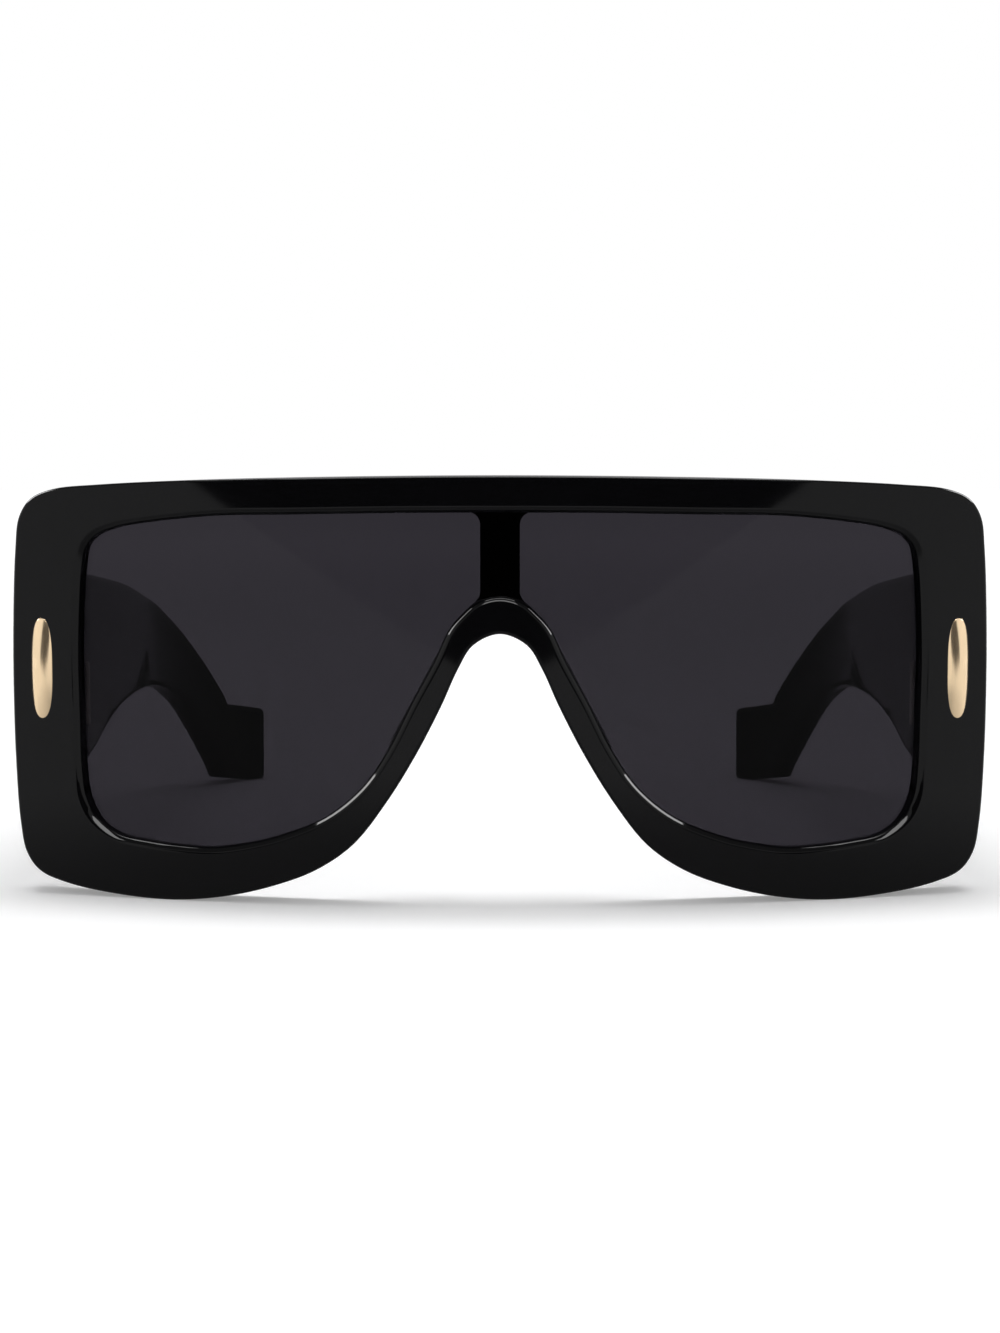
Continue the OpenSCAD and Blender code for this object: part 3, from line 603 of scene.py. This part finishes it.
class ArmShape:
    """The form of an arm, in its own frame: the origin is on the hinge's axis, and y runs along the arm."""

    def __init__(self, arm, front):
        self.arm = arm
        self.inner = front.width / 2 - SIDE_STEP - arm.thickness - HINGE.x
        self.arch_at = ARM_ARCH_SHARE * arm.length

    def top(self, along):
        """Height of the upper edge: down to the notch before the foot, and on along the foot."""
        a, slope = self.arm, math.tan(self.arm.foot_tilt)
        start, notch = a.length - a.foot_length, a.foot_height + a.foot_length * slope
        if along < start:
            return notch + (a.root_top - notch) * height_at(ARM_TOP_SHARES, along / start)
        return a.foot_height + (a.length - along) * slope

    def bottom(self, along):
        """Height of the lower edge: up to where it is highest, down again, and on along the sole."""
        a = self.arm
        if along < self.arch_at:
            rise = height_at(ARM_RISE_SHARES, along / self.arch_at)
            return a.root_bottom + (a.arch_height - a.root_bottom) * rise
        share = (along - self.arch_at) / (a.length - a.sole_length - self.arch_at)
        return max((a.arch_height + SOLE_CUT) * height_at(ARM_FALL_SHARES, share) - SOLE_CUT,
                   (a.length - a.sole_flat - along) * math.tan(a.foot_tilt))

    def thick(self, along):
        """Thickness, which shrinks towards the foot."""
        a = self.arm
        return a.thickness + (a.tip_thickness - a.thickness) * min(max(along / a.length, 0), 1)

    def point(self, along, out, up):
        """A point of the arm: along its inner face, out from that, and up."""
        a = self.arm
        if along < a.straight:
            return Vector((self.inner + out, along - HINGE_BACK, up))
        turn = (along - a.straight) / a.curl_radius
        reach = a.curl_radius + out
        return Vector((self.inner - a.curl_radius + reach * math.cos(turn),
                       a.straight - HINGE_BACK + reach * math.sin(turn), up))

    def ring(self, along, inset=0):
        """One section, with its rounded corners and narrow strips beside them."""
        a = self.arm
        share = eased((along / a.length - NARROW_START) / (NARROW_END - NARROW_START))
        r = min(a.edge_round + (a.foot_round - a.edge_round) * share, ROUND_LIMIT * self.thick(along))
        low, high = self.bottom(along) + inset, self.top(along) - inset
        near, far = inset, self.thick(along) - inset
        rounded = [(r + HOLD, 0)] + quarter(r) + [(0, r + HOLD / 2)]
        points = []
        for out, up, right, rise in ((far, high, 1, 1), (near, high, -1, 1), (near, low, -1, -1),
                                     (far, low, 1, -1)):
            corner = [(out - right * depth, up - rise * inwards) for inwards, depth in rounded]
            # The section runs one way round, so every second corner is turned
            points += corner[::right * rise]
        return [self.point(along, out, up) for out, up in points]

    def places(self):
        """Where the sections stand: closer together in the curl and at the foot."""
        a = self.arm
        foot = a.length - a.sole_length - FOOT_LEAD
        end = a.length - a.foot_round
        result = []
        along = -ARM_AHEAD
        while along < end:
            result.append(along)
            along += ARM_STEP if along < a.straight - ARM_STEP else CURL_STEP if along < foot else FOOT_STEP
        return result + [end]


def to_hinge(arm):
    """From an arm's own frame to the model's, with its lean inwards."""
    return Matrix.Translation((HINGE.x, HINGE.y, 0)) @ Matrix.Rotation(arm.toe, 4, "Z")


class SUNGLASSES_OT_arms(bpy.types.Operator):
    """Build the two broad arms with their flat feet"""
    bl_idname = "sunglasses.arms"
    bl_label = "Arms"

    def execute(self, context):
        arm = context.scene.sunglasses_arm
        shape = ArmShape(arm, context.scene.sunglasses_front)
        rings = [shape.ring(along) for along in shape.places()]
        rings += [shape.ring(arm.length - inwards, depth)
                  for inwards, depth in quarter(arm.foot_round, CORNER_STEPS)[1:]]
        for side in SIDES:
            bm = bmesh.new()
            for end in skin(bm, rings):
                bmesh.ops.contextual_create(bm, geom=end)
            bmesh.ops.recalc_face_normals(bm, faces=bm.faces[:])
            self.leaf_seat(bm, shape)
            bmesh.ops.transform(bm, matrix=to_hinge(arm), verts=bm.verts[:])
            # The butt that meets the front, and the flat sole
            for point, normal in planes(Y, BUTT_Y + BUTT_GAP) + planes(Z, 0):
                cut_off(bm, point, normal)
            if side == "right":
                mirrored(bm)
            finish_piece(bm, f"polished_{side}_arm", f"{side}_arm", [f"{side}_arm"],
                         acetate(context))
        return {"FINISHED"}

    def leaf_seat(self, bm, shape):
        """Sinks the seat of the hinge leaf into the inner face."""
        half = ARM_LEAF_TALL / 2 + FIT_GAP
        sink_seat(bm, X, shape.inner, LEAF_THICK + FIT_GAP,
                  {Y: (-FIT_GAP, ARM_LEAF_LONG + FIT_GAP), Z: (HINGE.z - half, HINGE.z + half)})


# Trim and small metal


class SUNGLASSES_OT_inlays(bpy.types.Operator):
    """Build the two domed gold ovals that are pressed into the front"""
    bl_idname = "sunglasses.inlays"
    bl_label = "Inlays"

    def execute(self, context):
        trim, front = context.scene.sunglasses_trim, context.scene.sunglasses_front
        half = trim.inlay_height / 2
        # An inlay is a slice of a turned shape of this radius, whose axis is sunk behind the front's face
        across = ((trim.inlay_width / 2) ** 2 + trim.inlay_rise ** 2) / (2 * trim.inlay_rise)
        sunk = across - trim.inlay_rise

        def girth(t):
            """Radius of that shape, with t from -1 to 1 along its height."""
            return across * max(1 - abs(t) ** INLAY_BLUNT, 0) ** (1 / INLAY_BLUNT)

        # How far up and down the turned shape stands out of the face, of its half height
        shown = (1 - (sunk / across) ** INLAY_BLUNT) ** (1 / INLAY_BLUNT)
        ends = [-math.cos(math.pi * k / INLAY_STEPS) for k in range(INLAY_STEPS + 1)]
        x = front.width / 2 - trim.inlay_edge
        y = axis_y(front) - math.sqrt(front.face_radius ** 2 - x ** 2)
        turn = Matrix.Rotation(math.asin(x / front.face_radius), 4, "Z")
        place = Matrix.Translation((x, y, trim.inlay_middle)) @ turn
        for side in SIDES:
            bm = bmesh.new()
            verts = [bm.verts.new((girth(t), sunk, half * t)) for t in ends]
            edges = [bm.edges.new(pair) for pair in zip(verts, verts[1:])]
            bmesh.ops.spin(bm, geom=verts + edges, cent=(0, sunk, 0), axis=(0, 0, 1), dvec=(0, 0, 0),
                           angle=2 * math.pi, steps=INLAY_STEPS, use_merge=True)
            bmesh.ops.remove_doubles(bm, verts=bm.verts[:], dist=NEAR)
            cut_off(bm, Vector((0, INLAY_DEEP, 0)), Vector((0, -1, 0)))
            # The dome runs down to its ends on one long even curve, so that they don't turn up to the lamps
            for vert in bm.verts:
                t = min(abs(vert.co.z) / half / shown, INLAY_TIP)
                if vert.co.y < 0:
                    vert.co.y *= trim.inlay_rise * (1 - t ** 2) / (girth(t * shown) - sunk)
            bmesh.ops.transform(bm, matrix=place, verts=bm.verts[:])
            if side == "right":
                mirrored(bm)
            finish_piece(bm, f"gold_{side}_inlay", "front", [f"{side}_corner_inlay"],
                         gold_plating(context))
        return {"FINISHED"}


class SUNGLASSES_OT_pads(bpy.types.Operator):
    """Build the two soft-edged nose pads"""
    bl_idname = "sunglasses.pads"
    bl_label = "Nose pads"

    def execute(self, context):
        trim, front = context.scene.sunglasses_trim, context.scene.sunglasses_front
        top, bottom = (Vector((x * front.width / 2, z * front.height))
                       for x, z in (PAD_TOP_SHARE, PAD_BOTTOM_SHARE))
        run, middle = top - bottom, (top + bottom) / 2
        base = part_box("left_nose_pad")[0].y
        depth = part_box("left_nose_pad")[1].y - base
        tall = run.length + 2 * trim.pad_round
        turn = Matrix.Rotation(math.atan2(run.x, run.y), 3, "Y")
        for side in SIDES:
            bm = bmesh.new()
            bmesh.ops.create_cube(bm, size=1)
            bmesh.ops.subdivide_edges(bm, edges=bm.edges[:], cuts=2, use_grid_fill=True)
            for v in bm.verts:
                slim = 1 - PAD_SLIM * (v.co.z + 0.5)
                v.co = Vector((v.co.x * PAD_WIDE * trim.pad_round * slim + PAD_LEAN * (v.co.y + 0.5),
                               v.co.y * depth * PAD_CAGE_DEEP, v.co.z * tall * PAD_CAGE_TALL))
            bmesh.ops.rotate(bm, cent=(0, 0, 0), matrix=turn, verts=bm.verts[:])
            bmesh.ops.translate(bm, vec=(middle.x, base + depth / 2, middle.y), verts=bm.verts[:])
            if side == "right":
                mirrored(bm)
            piece = finish_piece(bm, f"tumbled_{side}_pad", "front", [f"{side}_nose_pad"],
                                 tumbled_acetate(context), sharp=math.pi)
            rounding = piece.modifiers.new("rounding", "SUBSURF")
            rounding.levels = rounding.render_levels = 3
        return {"FINISHED"}


def dressed_copy(name, body, node, finish, bevel):
    """A piece from a merged copy of a CAD node, with its edges broken."""
    bm = bmesh.new()
    bm.from_mesh(frame["nodes"][node].data)
    bmesh.ops.remove_doubles(bm, verts=bm.verts[:], dist=NEAR)
    bmesh.ops.dissolve_limit(bm, angle_limit=FLAT, verts=bm.verts[:], edges=bm.edges[:])
    piece = finish_piece(bm, name, body, [node], finish)
    broken = piece.modifiers.new("broken edges", "BEVEL")
    broken.width, broken.segments, broken.limit_method, broken.angle_limit = bevel, 2, "ANGLE", SHARP
    broken.harden_normals = True


class SUNGLASSES_OT_hinges(bpy.types.Operator):
    """Build the hinge leaves with their barrels, the pivots and the leaf screws"""
    bl_idname = "sunglasses.hinges"
    bl_label = "Hinges"

    def execute(self, context):
        for side in SIDES:
            arm = f"{side}_arm"
            self.leaf(context, f"satin_{side}_front_leaf", "front", f"{side}_front_hinge_leaf")
            self.leaf(context, f"satin_{side}_arm_leaf", arm, f"{side}_arm_hinge_leaf")
            self.screw(context, f"turned_{side}_pivot", "front", f"{side}_hinge_screw")
            self.screw(context, f"turned_{side}_front_screws", "front", f"{side}_front_leaf_screws")
            self.screw(context, f"turned_{side}_arm_screws", arm, f"{side}_arm_leaf_screws")
        return {"FINISHED"}

    def leaf(self, context, name, body, node):
        dressed_copy(name, body, node, nickel_silver(context), LEAF_EDGE)

    def screw(self, context, name, body, node):
        dressed_copy(name, body, node, turned_steel(context), SCREW_EDGE)


class SUNGLASSES_OT_wires(bpy.types.Operator):
    """Give the core wires inside the arms their finish"""
    bl_idname = "sunglasses.wires"
    bl_label = "Core wires"

    def execute(self, context):
        for side in SIDES:
            node = frame["nodes"][f"{side}_arm_core_wire"]
            node.data.materials.clear()
            node.data.materials.append(drawn_wire(context))
        return {"FINISHED"}


# Finishes


def add(tree, kind, settings=(), links=()):
    """Adds a node with its settings (input or property) and links (input, output)."""
    made = tree.nodes.new(f"ShaderNode{kind}")
    for key, value in dict(settings).items():
        if isinstance(key, str) and hasattr(made, key):
            setattr(made, key, value)
        else:
            made.inputs[key].default_value = value
    for key, output in dict(links).items():
        tree.links.new(made.inputs[key], output)
    return made


def material(name):
    """The material of that name, with an empty tree to build it in."""
    made = bpy.data.materials.get(name) or bpy.data.materials.new(name)
    made.use_nodes = True
    made.node_tree.nodes.clear()
    return made, made.node_tree


def rgba(value, share=1):
    """A colour at a share of its brightness, with its alpha."""
    return (*(c * share for c in value), 1)


def per_metre(millimetres):
    """A noise scale at which one swell is that long."""
    return 1 / (millimetres * MM)


def surface(tree, settings, base, shades, roughness, relief, haze, cloud, swell):
    """Ends a tree: haze spreads the roughness between two values, cloud the shades, and swell the relief."""
    gloss = add(tree, "MapRange", {"From Min": 0.3, "From Max": 0.7, "To Min": roughness[0],
                                   "To Max": roughness[1]}, {"Value": haze.outputs["Fac"]})
    tint = add(tree, "Mix", {"data_type": "RGBA", 6: rgba(base, shades[0]), 7: rgba(base, shades[1])},
               {"Factor": cloud.outputs["Fac"]})
    bump = add(tree, "Bump", {"Strength": relief[0], "Distance": relief[1]}, {"Height": swell.outputs["Fac"]})
    shader = add(tree, "BsdfPrincipled", settings,
                 {"Base Color": tint.outputs[2], "Roughness": gloss.outputs["Result"],
                  "Normal": bump.outputs["Normal"]})
    add(tree, "OutputMaterial", {}, {"Surface": shader.outputs["BSDF"]})


def polished(name, base, roughness, level, ripple):
    """Black acetate: cellulose plastic that takes a deep, slightly uneven polish."""
    made, tree = material(name)
    place = add(tree, "TexCoord").outputs["Object"]
    # Polishing haze: broad patches where the wheel has cut a little less
    haze = add(tree, "TexNoise", {"Scale": per_metre(14), "Detail": 2}, {"Vector": place})
    # The faint cloud of pigment in the sheet
    cloud = add(tree, "TexNoise", {"Scale": per_metre(5), "Detail": 3}, {"Vector": place})
    # Hand polish leaves swells of a few millimetres, far too low to feel
    swell = add(tree, "TexNoise", {"Scale": per_metre(9), "Detail": 1}, {"Vector": place})
    surface(tree, {"IOR": 1.49, "Specular IOR Level": level}, base, (0.75, 1.3), roughness,
            (ripple, 0.02 * MM), haze, cloud, swell)
    return made


def acetate(context):
    """Sheet acetate, cut, bent and wheel polished: a deep black that mirrors the room faintly."""
    return polished("black_acetate_polished", context.scene.sunglasses_colours.acetate,
                    roughness=(0.03, 0.045), level=0.16, ripple=0.08)


def tumbled_acetate(context):
    """Acetate tumbled with pumice: the same black, with a soft sheen and no mirror."""
    return polished("black_acetate_tumbled", context.scene.sunglasses_colours.pads,
                    roughness=(0.22, 0.3), level=0.3, ripple=0.25)


def smoke_polycarbonate(context):
    """Moulded polycarbonate, dyed through: a clear dark grey that mirrors hardly anything."""
    made, tree = material("smoke_polycarbonate_moulded")
    place = add(tree, "TexCoord").outputs["Object"]
    # The dye sits a shade denser in places
    cloud = add(tree, "TexNoise", {"Scale": per_metre(30), "Detail": 1}, {"Vector": place})
    base = context.scene.sunglasses_colours.lens
    tint = add(tree, "Mix", {"data_type": "RGBA", 6: rgba(base, 0.99), 7: rgba(base, 1.01)},
               {"Factor": cloud.outputs["Fac"]})
    # Bare polycarbonate has an IOR of 1.58: the lower one mirrors as little as a coating against glare does
    shader = add(tree, "BsdfPrincipled", {"IOR": 1.12, "Roughness": 0, "Transmission Weight": 1},
                 {"Base Color": tint.outputs[2]})
    add(tree, "OutputMaterial", {}, {"Surface": shader.outputs["BSDF"]})
    return made


def metal(name, base, roughness, grain, lines):
    """A metal with fine lines: grain is their size in millimetres along x, y and z."""
    made, tree = material(name)
    place = add(tree, "TexCoord").outputs["Object"]
    stretch = add(tree, "Mapping", {"Scale": [per_metre(g) for g in grain]}, {"Vector": place})
    drawn = add(tree, "TexNoise", {"Scale": 1, "Detail": 3}, {"Vector": stretch.outputs["Vector"]})
    surface(tree, {"Metallic": 1}, base, (0.94, 1), roughness, (lines, 0.01 * MM), drawn, drawn, drawn)
    return made


def gold_plating(context):
    """Brass, die struck, polished and plated pale gold: a bright mirror, softened a little by the plating."""
    return metal("pale_gold_plated", context.scene.sunglasses_colours.gold,
                 roughness=(0.18, 0.24), grain=(0.6, 0.6, 3), lines=0.12)


def nickel_silver(context):
    """Nickel silver, milled and satin finished: a soft warm grey with fine lines along the leaf."""
    return metal("nickel_silver_satin", context.scene.sunglasses_colours.nickel,
                 roughness=(0.3, 0.42), grain=(1.5, 1.5, 0.08), lines=0.35)


def turned_steel(context):
    """Stainless steel, turned: brighter than the leaves, with fine rings."""
    return metal("stainless_steel_turned", context.scene.sunglasses_colours.steel,
                 roughness=(0.2, 0.3), grain=(0.5, 0.5, 0.06), lines=0.3)


def drawn_wire(context):
    """Wire as it leaves the die: dull, with lines along its length."""
    return metal("steel_wire_drawn", context.scene.sunglasses_colours.wire,
                 roughness=(0.32, 0.42), grain=(0.1, 4, 0.1), lines=0.3)


# Studio


def seen(tree):
    """1 for the rays that look at the background: the camera's, and those that glass and gloss pass on."""
    path = add(tree, "LightPath")
    both = add(tree, "Math", {"operation": "MAXIMUM"},
               {0: path.outputs["Is Camera Ray"], 1: path.outputs["Is Transmission Ray"]})
    return add(tree, "Math", {"operation": "MAXIMUM"},
               {0: both.outputs[0], 1: path.outputs["Is Glossy Ray"]}).outputs[0]


def lamp(context, name, place, aim, size, power, reflected=True):
    """A soft area lamp: either it is only seen in reflections, or it lights the scene."""
    light = bpy.data.lights.new(name, "AREA")
    light.shape, light.size, light.size_y, light.energy = "RECTANGLE", *size, power
    made = bpy.data.objects.new(name, light)
    made.location = place
    made.rotation_euler = (Vector(aim) - Vector(place)).to_track_quat("-Z", "Y").to_euler()
    made.visible_camera = made.visible_transmission = False
    made.visible_diffuse, made.visible_glossy = not reflected, reflected
    context.scene.collection.objects.link(made)


class SUNGLASSES_OT_stage(bpy.types.Operator):
    """Set up the floor, the soft light and the camera"""
    bl_idname = "sunglasses.stage"
    bl_label = "Stage"

    def execute(self, context):
        context.scene.view_settings.view_transform = "Standard"
        self.floor(context)
        self.cards()
        self.world(context)
        lamp(context, "overhead_softbox", place=(0, 0.08, 1.1), aim=(0, -0.06, 0), size=(0.9, 0.35), power=8,
             reflected=False)
        lamp(context, "centre_strip", place=(0, 0.12, 1), aim=(0, 0.12, 0), size=(0.72, 0.5), power=16)
        for side, sign in zip(SIDES, (1, -1)):
            lamp(context, f"{side}_strip", place=(sign * 0.783, 0.17, 0.6), aim=(0, 0.1, 0.03),
                 size=(0.5, 0.407), power=11)
        lamp(context, "front_strip", place=(0, -0.55, 0.85), aim=(0, -0.07, 0.02), size=(0.75, 0.38),
             power=11)
        self.camera(context)
        return {"FINISHED"}

    def floor(self, context):
        """A pale sweep of paper that ends under the camera."""
        made, tree = material("paper_sweep_matt")
        place = add(tree, "TexCoord").outputs["Object"]
        grain = add(tree, "TexNoise", {"Scale": per_metre(1.5), "Detail": 2}, {"Vector": place})
        bump = add(tree, "Bump", {"Strength": 0.05, "Distance": 0.05 * MM}, {"Height": grain.outputs["Fac"]})
        paper = add(tree, "BsdfDiffuse", {"Color": rgba(context.scene.sunglasses_colours.floor)},
                    {"Normal": bump.outputs["Normal"]})
        # Further from the object, where the softbox reaches less, the paper glows more
        away = add(tree, "VectorMath", {"operation": "LENGTH"}, {0: place})
        level = add(tree, "MapRange", {"interpolation_type": "SMOOTHSTEP", "From Min": 0.1, "From Max": 1.6,
                                       "To Min": 0.26, "To Max": 0.8}, {"Value": away.outputs["Value"]})
        strength = add(tree, "Math", {"operation": "MULTIPLY"}, {0: seen(tree), 1: level.outputs["Result"]})
        glow = add(tree, "Emission", {}, {"Strength": strength.outputs[0]})
        both = add(tree, "AddShader", {}, {0: paper.outputs[0], 1: glow.outputs[0]})
        add(tree, "OutputMaterial", {}, {"Surface": both.outputs[0]})
        bm = bmesh.new()
        bmesh.ops.create_grid(bm, x_segments=1, y_segments=1, size=1)
        bmesh.ops.scale(bm, vec=(PAPER_REACH, (PAPER_REACH + PAPER_END) / 2, 1), verts=bm.verts[:])
        bmesh.ops.translate(bm, vec=(0, (PAPER_REACH - PAPER_END) / 2, 0), verts=bm.verts[:])
        to_object(bm, "paper_sweep", made)

    def cards(self):
        """Cards round the object, which only reflections see: the dark end of the room behind the camera, a
        grey ceiling between the strip lamps, and a board on the floor in front: a painted shade, darker near
        the front, which stands in the reflections for the floor's shade beside the object."""
        flag = ((0, -0.071), (0.79, 0.049), (0.9, 0.9), (-0.9, 0.9), (-0.79, 0.049))
        self.card("black_flag", 0.06, [(x, -1.2, z) for x, z in flag])
        ceiling = ((1.6, -1), (1.6, 0.7), (-1.6, 0.7), (-1.6, -1))
        self.card("grey_ceiling", 0.3, [(x, y, 1.3) for x, y in ceiling])
        board = ((0.6, -0.4639), (0.6, -0.03), (-0.6, -0.03), (-0.6, -0.4639))
        # Painted shade: this board is darker near the front, and in reflections it stands for the floor's
        # shade beside the object
        self.card("painted_shade_board", 0.45, [(x, y, 0.4 * MM) for x, y in board], fade=(0.05, 0.18, 1))

    def card(self, name, strength, corners, fade=None):
        """A card of one brightness, or with a fade: two distances from the front, and the last brightness."""
        made, tree = material(f"{name}_cloth")
        cloth = add(tree, "Emission", {"Color": (1, 1, 1, 1), "Strength": strength})
        # The fade darkens a card towards the front; on the floor board it is painted shade
        if fade:
            near, far, last = fade
            place = add(tree, "TexCoord").outputs["Object"]
            away = add(tree, "VectorMath", {"operation": "DISTANCE", 1: (0, FRONT_Y, 0)}, {0: place})
            level = add(tree, "MapRange", {"interpolation_type": "SMOOTHSTEP", "From Min": near,
                                           "From Max": far, "To Min": strength, "To Max": last},
                        {"Value": away.outputs["Value"]})
            tree.links.new(cloth.inputs["Strength"], level.outputs["Result"])
        add(tree, "OutputMaterial", {}, {"Surface": cloth.outputs[0]})
        bm = bmesh.new()
        bmesh.ops.contextual_create(bm, geom=loop(bm, corners))
        piece = to_object(bm, name, made)
        piece.visible_camera = piece.visible_diffuse = False
        piece.visible_shadow = piece.visible_transmission = False

    def world(self, context):
        """A white room, which lights the object more softly than it shows."""
        room = bpy.data.worlds.new("white_room")
        room.use_nodes = True
        tree = room.node_tree
        tree.nodes.clear()
        level = add(tree, "MapRange", {"To Min": 0.35, "To Max": 1}, {"Value": seen(tree)})
        back = add(tree, "Background", {"Color": (1, 1, 1, 1)}, {"Strength": level.outputs["Result"]})
        add(tree, "OutputWorld", {}, {"Surface": back.outputs[0]})
        context.scene.world = room

    def camera(self, context):
        """The photograph's camera."""
        data = bpy.data.cameras.new("camera")
        data.lens, data.sensor_width, data.sensor_fit = CAMERA_LENS, FILM, "AUTO"
        data.clip_start = 10 * MM
        made = bpy.data.objects.new("camera", data)
        made.location = (0, FRONT_Y - CAMERA_BACK, CAMERA_UP)
        made.rotation_euler = (math.radians(90 - CAMERA_DOWN), 0, 0)
        context.scene.collection.objects.link(made)
        context.scene.camera = made


class SUNGLASSES_PT_build(bpy.types.Panel):
    """Lists the builders and their sizes and colours"""
    bl_idname = "SUNGLASSES_PT_build"
    bl_label = "Sunglasses"
    bl_space_type = "VIEW_3D"
    bl_region_type = "UI"
    bl_category = "Sunglasses"

    def draw(self, context):
        for name in GROUPS:
            group = getattr(context.scene, name)
            box = self.layout.box()
            for size in group.__annotations__:
                box.prop(group, size)
        for operator in OPERATORS:
            self.layout.operator(operator.bl_idname)


OPERATORS = (SUNGLASSES_OT_stage, SUNGLASSES_OT_front, SUNGLASSES_OT_lens, SUNGLASSES_OT_arms,
             SUNGLASSES_OT_inlays, SUNGLASSES_OT_pads, SUNGLASSES_OT_hinges, SUNGLASSES_OT_wires)
GROUPS = {"sunglasses_front": FrontSizes, "sunglasses_arm": ArmSizes, "sunglasses_trim": TrimSizes,
          "sunglasses_colours": FinishColours}


def register():
    for cls in (*GROUPS.values(), *OPERATORS, SUNGLASSES_PT_build):
        bpy.utils.register_class(cls)
    for name, group in GROUPS.items():
        setattr(bpy.types.Scene, name, PointerProperty(type=group))


def unregister():
    for name in GROUPS:
        delattr(bpy.types.Scene, name)
    for cls in reversed((*GROUPS.values(), *OPERATORS, SUNGLASSES_PT_build)):
        bpy.utils.unregister_class(cls)


def main():
    register()
    bpy.ops.sunglasses.stage()
    bpy.ops.sunglasses.front()
    bpy.ops.sunglasses.lens()
    bpy.ops.sunglasses.arms()
    bpy.ops.sunglasses.inlays()
    bpy.ops.sunglasses.pads()
    bpy.ops.sunglasses.hinges()
    bpy.ops.sunglasses.wires()


if __name__ == "__main__":
    main()
